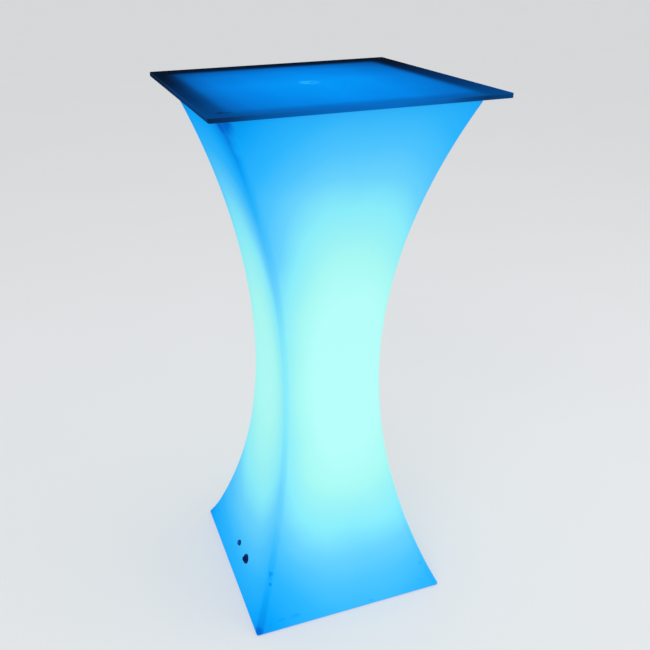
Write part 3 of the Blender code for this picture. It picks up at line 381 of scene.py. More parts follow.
def grooves(middles, height, mouth, floor, depth):
    """Outline points of ring grooves in a flat underside."""
    points = []
    for middle in middles:
        points += [
            (middle - mouth, height),
            (middle - floor, height + depth),
            (middle + floor, height + depth),
            (middle + mouth, height),
        ]
    return points


def rods(name, radius, bottom, top, places=ON_AXIS, steps=SMALL_STEPS):
    """Upright cylinders between two heights, one at each (x, y) place, in one mesh."""
    shape = bmesh.new()
    for x, y in places:
        sizes = {"radius1": radius, "radius2": radius, "depth": top - bottom, "segments": steps}
        middle = Matrix.Translation((x, y, (bottom + top) / 2))
        bmesh.ops.create_cone(shape, cap_ends=True, matrix=middle, **sizes)
    return mesh_of(shape, name)


def wound(name, coil_radius, wire_radius, bottom, top, turns):
    """A round wire wound about Z, with its first and last half turns level."""
    count = turns * COIL_STEPS
    level_share = 0.5 / turns
    rings = []
    for number in range(count + 1):
        share = number / count
        angle = math.tau * turns * share
        climb = min(max((share - level_share) / (1 - 2 * level_share), 0), 1)
        out = Vector((math.cos(angle), math.sin(angle), 0))
        centre = out * coil_radius
        centre.z = bottom + wire_radius + (top - bottom - 2 * wire_radius) * climb
        around = [math.tau * step / WIRE_STEPS for step in range(WIRE_STEPS)]
        ring = [math.cos(turn) * out + math.sin(turn) * UPWARD for turn in around]
        rings.append([centre + wire_radius * point for point in ring])
    return lofted(name, rings)


def on_circle(radius, count, first_degrees=0):
    """(x, y) places evenly round a circle."""
    angles = [math.radians(first_degrees) + math.tau * number / count for number in range(count)]
    return [(radius * math.cos(angle), radius * math.sin(angle)) for angle in angles]


def square_places(reach):
    """(x, y) places at the corners of a square."""
    return [(side_x * reach, side_y * reach) for side_x, side_y in SQUARE_CORNERS]


def placed(name, data, place=AT_ORIGIN):
    """A new object in the scene."""
    made = bpy.data.objects.new(name, data)
    bpy.context.collection.objects.link(made)
    made.matrix_world = place
    return made


def cut(mesh, place=AT_ORIGIN):
    return "DIFFERENCE", mesh, place


def fused(mesh):
    return "UNION", mesh, AT_ORIGIN


def carved(name, mesh, steps):
    """The mesh after each (operation, cutter mesh, cutter's place) in turn, then welded."""
    made = placed(name, mesh)
    helpers = []
    for operation, cutter, place in steps:
        modifier = made.modifiers.new(cutter.name, "BOOLEAN")
        modifier.operation = operation
        modifier.object = placed(cutter.name, cutter, place)
        helpers.append(modifier.object)
    bpy.context.view_layer.update()
    graph = bpy.context.evaluated_depsgraph_get()
    finished = bpy.data.meshes.new_from_object(made.evaluated_get(graph))
    for old in [made, *helpers]:
        bpy.data.objects.remove(old, do_unlink=True)
    shape = bmesh.new()
    shape.from_mesh(finished)
    bmesh.ops.remove_doubles(shape, verts=shape.verts, dist=WELD_DISTANCE)
    bmesh.ops.dissolve_degenerate(shape, edges=shape.edges, dist=WELD_DISTANCE)
    return mesh_of(shape, name)


def control_place(offset):
    """Where a control's frame stands, with its Z axis straight out of the left wall."""
    at = Matrix.Translation((-half_width(CONTROL_HEIGHT), offset, CONTROL_HEIGHT))
    return at @ Matrix.Rotation(math.atan(-lean(CONTROL_HEIGHT)) - math.pi / 2, 4, "Y")


# Materials

def linear(red, green, blue):
    """A colour written as 0 to 255, as the shader wants it."""
    shares = [value / 255 for value in (red, green, blue)]
    return tuple(s / 12.92 if s <= 0.04045 else ((s + 0.055) / 1.055) ** 2.4 for s in shares)


def is_socket(value):
    return isinstance(value, bpy.types.NodeSocket)


def feed(socket, value):
    """Sets a socket, or links it."""
    if is_socket(value):
        socket.id_data.links.new(value, socket)
    else:
        socket.default_value = value


def settle(node, **values):
    """Feeds a node's inputs by name, with _ for each space."""
    for name, value in values.items():
        feed(node.inputs[name.replace("_", " ")], value)


def new_look(name):
    """A material with its shader and the place on the object."""
    look = bpy.data.materials.new(name)
    look.use_nodes = True
    nodes = look.node_tree.nodes
    return look, nodes["Principled BSDF"], nodes.new("ShaderNodeTexCoord").outputs["Object"]


def new_node(kind, *values, **settings):
    """A node with settings and with values fed in turn, in the tree of the first socket given."""
    node = next(filter(is_socket, values)).id_data.nodes.new("ShaderNode" + kind)
    for name, setting in settings.items():
        setattr(node, name, setting)
    for socket, value in zip(node.inputs, values):
        if value is not None:
            feed(socket, value)
    return node


def maths(operation, *values):
    return new_node("Math", *values, operation=operation).outputs[0]


plus, minus = partial(maths, "ADD"), partial(maths, "SUBTRACT")
times, times_plus = partial(maths, "MULTIPLY"), partial(maths, "MULTIPLY_ADD")


def vector_maths(operation, *values):
    node = new_node("VectorMath", *values, operation=operation)
    return node.outputs["Value" if operation in ("LENGTH", "DISTANCE") else "Vector"]


def scaled(vector, factor):
    """A vector or colour times a number."""
    node = new_node("VectorMath", vector, operation="SCALE")
    settle(node, Scale=factor)
    return node.outputs["Vector"]


def parts_of(vector):
    return tuple(new_node("SeparateXYZ", vector).outputs)


def fade(value, start, end, low=0.0, high=1.0):
    """Goes smoothly from low at start to high at end."""
    if start > end:
        start, end, low, high = end, start, high, low
    limits = (start, end, low, high)
    return new_node("MapRange", value, *limits, interpolation_type="SMOOTHSTEP").outputs["Result"]


def noise(place, scale, detail=3, roughness=0.55, output="Fac"):
    node = new_node("TexNoise", place)
    settle(node, Scale=scale, Detail=detail, Roughness=roughness)
    return node.outputs[output]


def stirred(value, place, scale, detail, strength):
    """A value raised and lowered by noise."""
    return times_plus(minus(noise(place, scale, detail), NOISE_MIDDLE), strength, value)


def mark(place, centre, size, strength, core_share):
    """A soft oval mark, at its full strength over a share of its size."""
    off = vector_maths("SUBTRACT", place, centre)
    off = vector_maths("MULTIPLY", off, tuple(1 / length for length in size))
    return fade(vector_maths("LENGTH", off), 1.0, core_share, 0, strength)


def profile(value, points):
    """A number, or a colour as 0 to 255, read along (place, number or colour) points."""
    low, high = points[0][0], points[-1][0]
    node = new_node("ValToRGB", maths("DIVIDE", minus(value, low), high - low))
    elements = node.color_ramp.elements
    elements[1].position = 1
    for place, _ in points[1:-1]:
        elements.new((place - low) / (high - low))
    for element, (_, read) in zip(elements, points):
        element.color = (*(linear(*read) if isinstance(read, tuple) else (read,) * 3), 1)
    return node.outputs["Color"]


def blend(share, first, second):
    """A colour between two."""
    colours = [colour if is_socket(colour) else (*colour, 1) for colour in (first, second)]
    return new_node("Mix", share, *[None] * 5, *colours, data_type="RGBA").outputs[2]


def bump(shader, *layers):
    """Bump from (height, strength, distance) layers, each on top of the last."""
    below = {}
    for height, strength, distance in layers:
        node = shader.id_data.nodes.new("ShaderNodeBump")
        settle(node, Height=height, Strength=strength, Distance=distance, **below)
        below = {"Normal": node.outputs["Normal"]}
    settle(shader, **below)


# How light from inside shows, by the distance from its column
LIGHT_STOPS = (
    (0.08, (186, 255, 250)), (0.13, (182, 254, 249)), (0.145, (168, 249, 243)),
    (0.157, (154, 242, 246)), (0.17, (138, 237, 250)), (0.19, (105, 211, 253)),
    (0.21, (78, 197, 254)), (0.24, (46, 183, 254)), (0.29, (12, 167, 253)), (0.36, (0, 110, 215)),
    (0.44, (0, 84, 178)),
)
# By height: how far the column stands to the right, how deep it lies behind the middle, how
# much deeper it lies for the left and right faces, and how much further away than they are the
# light shows those faces and the rounded arrises
COLUMN_LEFT_RIGHT = (
    (0, 0.054), (0.1, 0.049), (0.22, 0.03), (0.8, 0.029), (0.94, 0.016), (1.09, 0.033),
)
COLUMN_DEPTH = ((0, 0.014), (0.1, 0.018), (0.17, 0.017), (0.3, 0.011), (1.09, 0.01))
SIDE_DEPTH = (
    (0, 0), (0.2, 0), (0.3, 0.006), (0.7, 0.006), (0.82, 0.012), (0.94, 0.03), (1.04, 0.014),
    (1.09, 0.01),
)
# The steep rise of SIDE_PUSH and ARRIS_PUSH at the very top, under the glass's overhang, is painted
# shade
SIDE_PUSH = (
    (0, -0.004), (0.1, -0.023), (0.22, -0.006), (0.52, 0), (0.8, 0.002), (0.88, 0.009),
    (0.94, 0.023), (1.0, 0.04), (1.09, 0.06),
)
ARRIS_PUSH = (
    (0, 0.018), (0.1, 0.02), (0.22, 0.006), (0.52, 0.011), (0.8, 0.006), (0.94, 0.004),
    (1.02, 0.002), (1.04, -0.003), (1.062, -0.001), (1.072, 0.018), (1.085, 0.045),
)
PUSH_BASE = 0.03
ARRIS_NEAR, ARRIS_FAR = 0.0094, 0.0145
SIDE_START, SIDE_END = -0.012, 0.022
# The right face is further away by this share of how far the column stands to the right, and
# its arrises keep this share of their push
RIGHT_PUSH_SHARE = 1.1
RIGHT_ARRIS_SHARE = 0.35
RIGHT_START, RIGHT_END = 0.004, 0.04
LEFT_RIGHT_FADE = (-0.05, 0.05)
# The less the number, the flatter the light across the front and back at that height
FACE_ROUNDNESS = (
    (0, 0.37), (0.05, 0.35), (0.1, 0.28), (0.16, 0.25), (0.28, 0.31), (0.4, 0.37),
    (0.82, 0.37), (0.94, 0.31), (1.03, 0.355), (1.09, 0.37),
)
SIDE_ROUNDNESS = 0.36
# The top and the floor of the body, where the light grows further away with each metre out
PLATE_REACH, PLATE_GROWTH = 0.215, 0.36
PLATE_FADE = 0.003

# Scuffs on the body, and painted shade under the glass's near corner with a painted lighter run
# below it: place, size along each axis and how much further away they make the light seem. The
# two that bring it nearer are that painted lighter run, below the painted shade of the glass's near
# corner.
SCUFFS_AND_PAINTED_SHADE = (
    ((-0.1665, -0.1675, 0.119), (0.008, 0.008, 0.006), 0.046),
    ((-0.172, -0.179, 0.098), (0.006, 0.007, 0.005), 0.055),
    ((-0.168, -0.169, 0.109), (0.006, 0.006, 0.012), 0.028),
    ((-0.158, -0.208, 0.021), (0.012, 0.012, 0.004), 0.016),
    ((-0.126, -0.208, 0.022), (0.016, 0.012, 0.006), 0.022),
    ((-0.209, -0.209, 0.008), (0.013, 0.013, 0.014), 0.03),
    ((-0.212, -0.11, 0.03), (0.012, 0.002, 0.018), 0.025),
    ((-0.219, -0.165, 1.079), (0.03, 0.036, 0.028), 0.046),
    ((-0.214, -0.2, 1.058), (0.03, 0.014, 0.018), -0.015),
    ((-0.206, -0.192, 1.036), (0.03, 0.014, 0.018), -0.015),
    ((0.178, -0.194, 0.058), (0.006, 0.012, 0.006), 0.014),
    ((0.049, -0.214, 0.01), (0.01, 0.012, 0.003), 0.018),
    ((0.214, 0.08, 0.02), (0.012, 0.016, 0.004), 0.03),
    ((-0.06, 0.212, 0.034), (0.018, 0.012, 0.003), 0.025),
    ((0.15, 0.209, 0.018), (0.01, 0.012, 0.005), 0.03),
)
BODY_MARK_CORE_SHARE = 0.3
RAGGED_SCALE, RAGGED_REACH = 140, 0.006
RUBBED_PUSH = 0.02
RUBBED_PATCHES = (46, 5, 0.62)
RUBBED_START, RUBBED_END = 0.6, 0.72
RUBBED_HEIGHTS = (0.055, 0.004)

# How much of a lit colour shines, and how much is the surface's own
GLOW_SHARE = 0.7
SURFACE_SHARE = 0.34
# Clouds in the light: scale and detail of the noise, and strength
BODY_CLOUD = (9, 2, 0.008)
GLASS_CLOUD, GLASS_SPARKLE = (14, 3, 0.05), (900, 1, 0.03)
# Finish: weight and roughness of the coat, noise and range of the roughness, and bumps as the
# noise's scale, strength and distance
BODY_FINISH = ((0.012, 0.35), (30, 4), (0.16, 0.36), ((210, 0.25, 0.0003), (1500, 0.18, 0.00008)))
GLASS_FINISH = ((0.008, 0.3), (11, 4, 0.6), (0.18, 0.26), ((1300, 0.2, 0.00006),))
NOISE_MIDDLE = 0.5
FLATTEN = (1, 1, 0)


def glowing(shader, place, colour, coat, patches, roughness, bumps):
    """Light of a colour from inside, under a faint gloss that keeps it deep at low angles."""
    settle(shader, Base_Color=scaled(colour, SURFACE_SHARE), Emission_Color=colour)
    settle(shader, Emission_Strength=GLOW_SHARE, Specular_IOR_Level=0)
    settle(shader, Coat_Weight=coat[0], Coat_Roughness=coat[1])
    settle(shader, Roughness=times_plus(noise(place, *patches), *roughness))
    bump(shader, *((noise(place, scale, 2), *depth) for scale, *depth in bumps))


def lit_plastic():
    """Moulded plastic lit from inside, with darker arrises, scuffs, painted shade under the glass and
    a faint orange peel.
    """
    look, shader, place = new_look("lit plastic")
    x, y, z = parts_of(place)
    across, along = maths("ABSOLUTE", x), maths("ABSOLUTE", y)
    sideways = minus(across, along)
    on_side = fade(sideways, SIDE_START, SIDE_END)

    away = minus(z, WAIST_HEIGHT + BODY_BOTTOM)
    lower_arc, upper_arc = side_arc(0)[0], side_arc(BODY_HEIGHT)[0]
    is_upper = maths("GREATER_THAN", away, 0.0)
    radius = times_plus(is_upper, upper_arc - lower_arc, lower_arc)
    squares = [times(length, length) for length in (radius, away)]
    arc = maths("SQRT", minus(*squares))
    half = minus(plus(radius, WAIST_WIDTH / 2), arc)
    from_arris = minus(times(half, 2.0), plus(across, along))
    near_arris = fade(from_arris, ARRIS_FAR, ARRIS_NEAR)
    kept_share = fade(x, *LEFT_RIGHT_FADE, 1.0, RIGHT_ARRIS_SHARE)
    near_arris = times(near_arris, kept_share)

    column = profile(z, COLUMN_LEFT_RIGHT)
    side_depth = profile(z, SIDE_DEPTH)
    depth = times_plus(on_side, side_depth, profile(z, COLUMN_DEPTH))
    roundness = profile(z, FACE_ROUNDNESS)
    spare = minus(SIDE_ROUNDNESS, roundness)
    roundness = times_plus(on_side, spare, roundness)
    power = maths("DIVIDE", 1.0, roundness)
    reach = 0.0
    for gap in (minus(x, column), minus(y, depth)):
        reach = plus(maths("POWER", maths("ABSOLUTE", gap), power), reach)
    reach = maths("POWER", reach, roundness)

    for share, pushes in ((on_side, SIDE_PUSH), (near_arris, ARRIS_PUSH)):
        raised = [(height, push + PUSH_BASE) for height, push in pushes]
        push = minus(profile(z, raised), PUSH_BASE)
        reach = times_plus(share, push, reach)
    reach = stirred(reach, place, *BODY_CLOUD)
    on_right = fade(sideways, RIGHT_START, RIGHT_END)
    on_right = times(on_right, maths("GREATER_THAN", x, 0.0))
    push = times(column, RIGHT_PUSH_SHARE)
    reach = times_plus(on_right, push, reach)

    from_middle = vector_maths("LENGTH", vector_maths("MULTIPLY", place, FLATTEN))
    plate_reach = times_plus(from_middle, PLATE_GROWTH, PLATE_REACH)
    in_pocket = fade(from_middle, HUB_RADIUS + PLATE_FADE, HUB_RADIUS)
    in_pocket = times(in_pocket, maths("LESS_THAN", z, BODY_BOTTOM + HUB_TOP))
    on_floor = maths("MAXIMUM", fade(z, BODY_BOTTOM + PLATE_FADE, BODY_BOTTOM), in_pocket)
    for on_plate in (fade(z, BODY_TOP - PLATE_FADE, BODY_TOP), on_floor):
        gap = minus(plate_reach, reach)
        reach = times_plus(on_plate, gap, reach)

    ragged = noise(place, RAGGED_SCALE, 2, 0.5, "Color")
    ragged = vector_maths("SUBTRACT", ragged, (NOISE_MIDDLE,) * 3)
    shifted = vector_maths("ADD", place, scaled(ragged, RAGGED_REACH))
    # Scuffs, and the painted shade under the glass's near corner with its painted lighter run
    for body_mark in SCUFFS_AND_PAINTED_SHADE:
        reach = plus(reach, mark(shifted, *body_mark, BODY_MARK_CORE_SHARE))
    rubbed = fade(noise(place, *RUBBED_PATCHES), RUBBED_START, RUBBED_END)
    low_down = fade(z, *RUBBED_HEIGHTS, 0, RUBBED_PUSH)
    reach = times_plus(rubbed, low_down, reach)
    glowing(shader, place, profile(reach, LIGHT_STOPS), *BODY_FINISH)
    return look


# How the frosted glass shows the light below it. A level of 1 is the brightest blue.
GLASS_STOPS = (
    (0.0, (2, 8, 22)), (0.13, (2, 21, 44)), (0.27, (1, 43, 92)), (0.45, (0, 72, 140)),
    (0.64, (1, 103, 190)), (0.8, (0, 128, 224)), (1.0, (0, 158, 251)),
)
ACROSS_LEVELS = (
    (-0.22, 0.66), (-0.17, 0.79), (-0.1, 0.88), (0, 0.93), (0.1, 0.88), (0.18, 0.74),
    (0.22, 0.68),
)
ALONG_LEVELS = (
    (-0.2575, 0.68), (-0.235, 0.75), (-0.21, 0.89), (-0.12, 0.96), (0, 1.0), (0.13, 0.86),
    (0.18, 0.72), (0.195, 0.56), (0.21, 0.26), (0.219, 0.15), (0.2575, 0.16),
)
OVERHANG_LEVELS = (
    (-0.2575, 0.42), (-0.12, 0.32), (0, 0.25), (0.1, 0.16), (0.21, 0.1), (0.2575, 0.13),
)
OVER_BODY_SHARES = (
    (-0.2575, 0), (-0.243, 0), (-0.229, 0.25), (-0.216, 0.76), (-0.207, 0.92), (-0.18, 1),
    (0.192, 1), (0.203, 0.84), (0.212, 0.36), (0.222, 0), (0.2575, 0),
)
FRONT_EDGE_LEVELS = (
    (-0.2575, 0.2), (-0.22, 0.3), (-0.18, 0.48), (-0.08, 0.6), (0.04, 0.65), (0.13, 0.57),
    (0.205, 0.29), (0.2575, 0.36),
)
SIDE_EDGE_LEVELS = ((-0.2575, 0.36), (-0.1, 0.32), (0, 0.27), (0.18, 0.08), (0.2575, 0.09))
FRONT_EDGE_FADE = (0.01, 0.002)
# The pale tone of the ground edges, which on the arrises is mostly a painted highlight
PALE_EDGE_AND_HIGHLIGHT = linear(52, 116, 172)
# The cup seen through the glass: its place, where its edge fades as shares of its radius, how
# strongly it shows from right to left, and its colour
CUP_MARK = (-0.009, -0.008, 0)
CUP_EDGE_SHARES = (1.15, 0.85)
CUP_RIGHT_LEFT, CUP_STRENGTH_SHARES = (0.012, -0.02), (0.3, 0.85)
CUP_COLOUR = linear(34, 172, 255)
# Painted shade on the glass, over the body's near corner and over the cup's stem: place, size and how
# much light they keep back
GLASS_PAINTED_SHADES = (
    ((-0.231, -0.224, 1.1), (0.01, 0.008, 0.02), 0.6),
    ((-0.219, -0.2255, 1.1), (0.01, 0.006, 0.02), 0.4),
    ((-0.008, -0.012, 1.1), (0.0042, 0.007, 0.02), 0.5),
)
GLASS_SHADE_CORE_SHARE = 0.2
# How far the cut edges go pale as ground glass, and the arrises further as a painted highlight
EDGE_PALE_SHARE, ARRIS_HIGHLIGHT_SHARE = 0.05, 0.16


def frosted_glass(name, level_of, pale_and_highlight_share=0):
    """Sandblasted glass, whose light comes from a level for each place."""
    look, shader, place = new_look(name)
    x, y, _ = parts_of(place)
    level = level_of(x, y)
    for stir in (GLASS_CLOUD, GLASS_SPARKLE):
        level = stirred(level, place, *stir)
    colour = profile(level, GLASS_STOPS)
    # Paler edges: ground glass on the cut edges, a painted highlight on the arrises
    if pale_and_highlight_share:
        colour = blend(pale_and_highlight_share, colour, PALE_EDGE_AND_HIGHLIGHT)
    else:
        flat = vector_maths("MULTIPLY", place, FLATTEN)
        off = vector_maths("DISTANCE", flat, CUP_MARK)
        disc = fade(off, *(CUP_RADIUS * share for share in CUP_EDGE_SHARES))
        strength = fade(x, *CUP_RIGHT_LEFT, *CUP_STRENGTH_SHARES)
        colour = blend(times(disc, strength), colour, CUP_COLOUR)
        # Painted shade over the body's near corner and the cup's stem
        for painted_shade in GLASS_PAINTED_SHADES:
            shade = mark(place, *painted_shade, GLASS_SHADE_CORE_SHARE)
            colour = scaled(colour, minus(1.0, shade))
    glowing(shader, place, colour, *GLASS_FINISH)
    return look


def face_level(x, y):
    """Bright over the body, dim past its outline."""
    over = profile(x, OVER_BODY_SHARES)
    levels = profile(x, ACROSS_LEVELS), profile(y, ALONG_LEVELS)
    bright = times(*levels)
    dim = profile(y, OVERHANG_LEVELS)
    return times_plus(over, minus(bright, dim), dim)


def edge_level(x, y):
    """The cut edges, brightest in the middle of the front."""
    front = fade(y, *(inward - GLASS_HALF for inward in FRONT_EDGE_FADE))
    side = profile(y, SIDE_EDGE_LEVELS)
    ahead = profile(x, FRONT_EDGE_LEVELS)
    return times_plus(front, minus(ahead, side), side)


# How a plain finish mixes its two colours, and where and how it is rubbed paler. Broad patches
# and rubbed spots are this many times as large as its grain.
BROAD_TIMES, WORN_TIMES = 12, 4
BROAD_SHARE = 0.6
MIX_START, MIX_END = 0.35, 0.65
WORN_START, WORN_END = 0.62, 0.74
WORN_SHARE = 0.35
WORN_GAIN, WORN_LIFT = 1.6, 0.02


def surface(name, dark, light, grain, roughness, bumps, stretch=(1, 1, 1), ring=None, **sockets):
    """Two colours mixed by noise, with uneven roughness, a fine bump and lighter rubbed spots.

    ring is the spacing of moulded or turned rings about the piece's own axis.
    """
    look, shader, at = new_look(name)
    place = vector_maths("MULTIPLY", at, stretch)
    broad, fine = noise(place, grain / BROAD_TIMES, 4), noise(place, grain)
    mix = times_plus(broad, BROAD_SHARE, times(fine, 1 - BROAD_SHARE))
    colour = blend(fade(mix, MIX_START, MIX_END), dark, light)
    worn = noise(place, grain / WORN_TIMES, 5, 0.7)
    worn = fade(worn, WORN_START, WORN_END, 0, WORN_SHARE)
    paler = tuple(min(1, value * WORN_GAIN + WORN_LIFT) for value in light)
    low, high = roughness
    rough = times_plus(broad, high - low, low)
    settle(shader, Base_Color=blend(worn, colour, paler), Roughness=rough)
    layers = [(fine, *bumps)]
    if ring:
        flat = vector_maths("MULTIPLY", at, FLATTEN)
        reach = vector_maths("LENGTH", flat)
        wave = maths("SINE", times(reach, math.tau / ring))
        layers.append((wave, *bumps))
    bump(shader, *layers)
    settle(shader, **sockets)
    return look


# Finishes by slot: dark and light colour, grain, range of roughness, and strength and distance
# of the bump
PLAIN_LOOKS = {
    "clear_plastic": ((0.66, 0.82, 0.9), (0.8, 0.92, 0.97), 300, (0.1, 0.25), (0.1, 0.00005)),
    "white_plastic": ((0.66, 0.68, 0.69), (0.8, 0.81, 0.8), 700, (0.38, 0.6), (0.2, 0.00008)),
    "black_plastic": ((0.006, 0.01, 0.022), (0.014, 0.02, 0.038), 1800, (0.3, 0.5), (0.25, 0.00005)),
    "black_rubber": ((0.005, 0.008, 0.018), (0.012, 0.016, 0.03), 1500, (0.62, 0.85), (0.35, 0.00006)),
    # The controls are black: these blue finishes are black plastic and rubber with the body's glow
    # painted on
    "blue_lit_black_plastic": ((0.001, 0.01, 0.085), (0.001, 0.018, 0.14), 1800, (0.45, 0.65), (0.2, 0.00004)),
    "blue_lit_black_rubber": ((0.001, 0.009, 0.08), (0.001, 0.016, 0.13), 1500, (0.65, 0.85), (0.3, 0.00005)),
    "bright_blue_lit_black_rubber": ((0.001, 0.075, 0.36), (0.002, 0.115, 0.51), 1500, (0.6, 0.8), (0.3, 0.00005)),
    "grey_foam": ((0.07, 0.07, 0.08), (0.15, 0.15, 0.16), 1100, (0.9, 1.0), (0.8, 0.0004)),
    "steel": ((0.46, 0.46, 0.48), (0.66, 0.66, 0.68), 900, (0.22, 0.4), (0.12, 0.00004)),
    "brass": ((0.6, 0.42, 0.18), (0.8, 0.62, 0.3), 900, (0.25, 0.45), (0.12, 0.00004)),
    "green_board": ((0.02, 0.14, 0.06), (0.05, 0.26, 0.12), 600, (0.25, 0.45), (0.2, 0.00006)),
    "white_board": ((0.72, 0.74, 0.74), (0.88, 0.89, 0.89), 600, (0.28, 0.42), (0.12, 0.00004)),
    "light_chip": ((0.8, 0.7, 0.22), (0.95, 0.86, 0.4), 900, (0.3, 0.5), (0.2, 0.00005)),
    "battery_wrap": ((0.03, 0.1, 0.3), (0.07, 0.18, 0.44), 240, (0.22, 0.38), (0.3, 0.00025)),
    "lead_jacket": ((0.015, 0.015, 0.017), (0.045, 0.045, 0.048), 1200, (0.45, 0.65), (0.15, 0.00005)),
}
EXTRA_SETTINGS = {
    "clear_plastic": {"Transmission_Weight": 0.8, "IOR": 1.45},
    "white_plastic": {"ring": 0.0045},
    "black_rubber": {"Sheen_Weight": 0.1},
    "blue_lit_black_plastic": {"Specular_IOR_Level": 0.1},
    "blue_lit_black_rubber": {"Specular_IOR_Level": 0.06},
    "bright_blue_lit_black_rubber": {"Specular_IOR_Level": 0.06},
    "steel": {"Metallic": 1.0, "ring": 0.0006},
    "brass": {"Metallic": 1.0, "ring": 0.0008},
    "light_chip": {"Emission_Color": (0.9, 0.8, 0.35, 1), "Emission_Strength": 0.4},
    "battery_wrap": {"stretch": (0.3, 1.4, 1.0), "Coat_Weight": 0.2},
}


def make_looks():
    """Every finish, by the record's slot, with extra ones for the glass and the controls."""
    looks = {
        "lit_plastic": lit_plastic(),
        "frosted_glass": frosted_glass("frosted glass", face_level),
        "glass_edge": frosted_glass("glass edge", edge_level, EDGE_PALE_SHARE),
        "glass_arris": frosted_glass("glass arris", edge_level, ARRIS_HIGHLIGHT_SHARE),
    }
    for slot, described in PLAIN_LOOKS.items():
        looks[slot] = surface(slot.replace("_", " "), *described, **EXTRA_SETTINGS.get(slot, {}))
    return looks


LOOKS = make_looks()


# Pieces

def piece(name, mesh, slot, nodes, place=AT_ORIGIN, body="table", finishes=None):
    """A smooth-shaded piece that stands for CAD nodes and rides on a body."""
    made = placed(name, mesh, place)
    mesh.materials.clear()
    for finish in finishes or [slot]:
        mesh.materials.append(LOOKS[finish])
    mesh.shade_smooth()
    mesh.set_sharp_from_angle(angle=math.radians(SHARP_ANGLE))
    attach(made, body)
    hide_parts(*nodes)
    return made


def repeated(places, *kinds):
    """A piece of each (name, mesh, slot, node, height) kind at each (x, y) place, numbered."""
    for number, (x, y) in enumerate(places, 1):
        for name, mesh, slot, node, height in kinds:
            place = Matrix.Translation((x, y, height))
            piece(f"{name}_{number}", mesh, slot, [f"{node}_{number}"], place)


def soft_shading(made):
    """Normals led by the large faces, so that they stay flat beside narrow ones."""
    modifier = made.modifiers.new("shading", "WEIGHTED_NORMAL")
    modifier.keep_sharp = True
    modifier.weight = LARGE_FACE_PULL


def make_body():
    """The hollow moulded shell, with its floor, bosses, holes and seats for the controls."""
    feet, screws = square_places(FOOT_PLACE), on_circle(COVER_SCREW_CIRCLE, 4)
    boss_foot = WALL - FUSE_DEPTH
    foot_hole, insert_hole = FOOT_SCREW_RADIUS + SEAT_GAP, INSERT_RADIUS + SEAT_GAP
    through_top = (BODY_HEIGHT - WALL - CUT_OVERRUN, BODY_HEIGHT + CUT_OVERRUN)
    pocket = [
        (0, -CUT_OVERRUN), (POCKET_RADIUS, -CUT_OVERRUN), (POCKET_RADIUS, POCKET_DEPTH),
        (OPENING_RADIUS, POCKET_DEPTH), (OPENING_RADIUS, HUB_TOP + CUT_OVERRUN),
        (0, HUB_TOP + CUT_OVERRUN),
    ]
    bosses = (
        ("hub", HUB_RADIUS, boss_foot, HUB_TOP, ON_AXIS, ROUND_STEPS),
        ("foot_bosses", foot_hole + BOSS_WALL, boss_foot, FOOT_BOSS_TOP, feet),
        ("bosses", INSERT_RADIUS + BOSS_WALL, HUB_TOP - FUSE_DEPTH, INSERT_BOSS_TOP, screws),
    )
    holes = (
        ("insert_holes", insert_hole, 0, INSERT_TOP + END_ROOM, screws),
        ("foot_pockets", FOOT_RADIUS + SEAT_GAP, -CUT_OVERRUN, FOOT_POCKET_TOP, feet),
        ("foot_holes", foot_hole, 0, FOOT_BOSS_TOP - BOSS_WALL, feet),
        ("cup_hole", CUP_STEM_RADIUS + SEAT_GAP, *through_top),
    )
    steps = [cut(body_surface("body_hollow", WALL))]
    steps += [fused(rods(*boss)) for boss in bosses]
    steps.append(cut(turned("pocket", pocket, ROUND_STEPS)))
    steps += [cut(rods(*hole)) for hole in holes]
    for offset, flange, barrel in (
        (SWITCH_OFFSET, SWITCH_FLANGE_RADIUS, SWITCH_BARREL_RADIUS),
        (SOCKET_OFFSET, SOCKET_FLANGE_RADIUS, SOCKET_BARREL_RADIUS),
    ):
        seat = rods("seat", flange + SPOT_FACE_MARGIN, -SPOT_FACE_DEPTH, CUT_OVERRUN)
        hole = rods("hole", barrel + HOLE_CLEARANCE, -WALL - CUT_OVERRUN, CUT_OVERRUN)
        steps += [cut(seat, control_place(offset)), cut(hole, control_place(offset))]
    mesh = carved("body_skin", body_surface("body_outside", 0), steps)
    mesh.transform(BODY_PLACE)
    soft_shading(piece("body_skin", mesh, "lit_plastic", ["body_shell"]))


def make_glass():
    """The square top, with its edges and arrises in their own looks."""
    slight = GLASS_ARRIS * GLASS_ARRIS_SHARE
    rings = []
    for height, trim in (
        (GLASS_UNDER, GLASS_ARRIS), (GLASS_UNDER + slight, slight), (GLASS_UNDER + GLASS_ARRIS, 0),
        (GLASS_TOP - GLASS_ARRIS, 0), (GLASS_TOP - slight, slight), (GLASS_TOP, GLASS_ARRIS),
    ):
        rings.append(square_ring(GLASS_HALF - trim, GLASS_CORNER_RADIUS - trim, height))
    mesh = lofted("glass_sheet", rings)
    finishes = ("frosted_glass", "glass_edge", "glass_arris")
    sheet = ("glass_sheet", mesh, "frosted_glass", ["glass_top"])
    made = piece(*sheet, body="glass", finishes=finishes)
    for face in mesh.polygons:
        if abs(face.normal.z) < EDGE_NORMAL:
            face.material_index = 1
        elif abs(face.normal.z) < ARRIS_NORMAL:
            face.material_index = 2
    soft_shading(made)


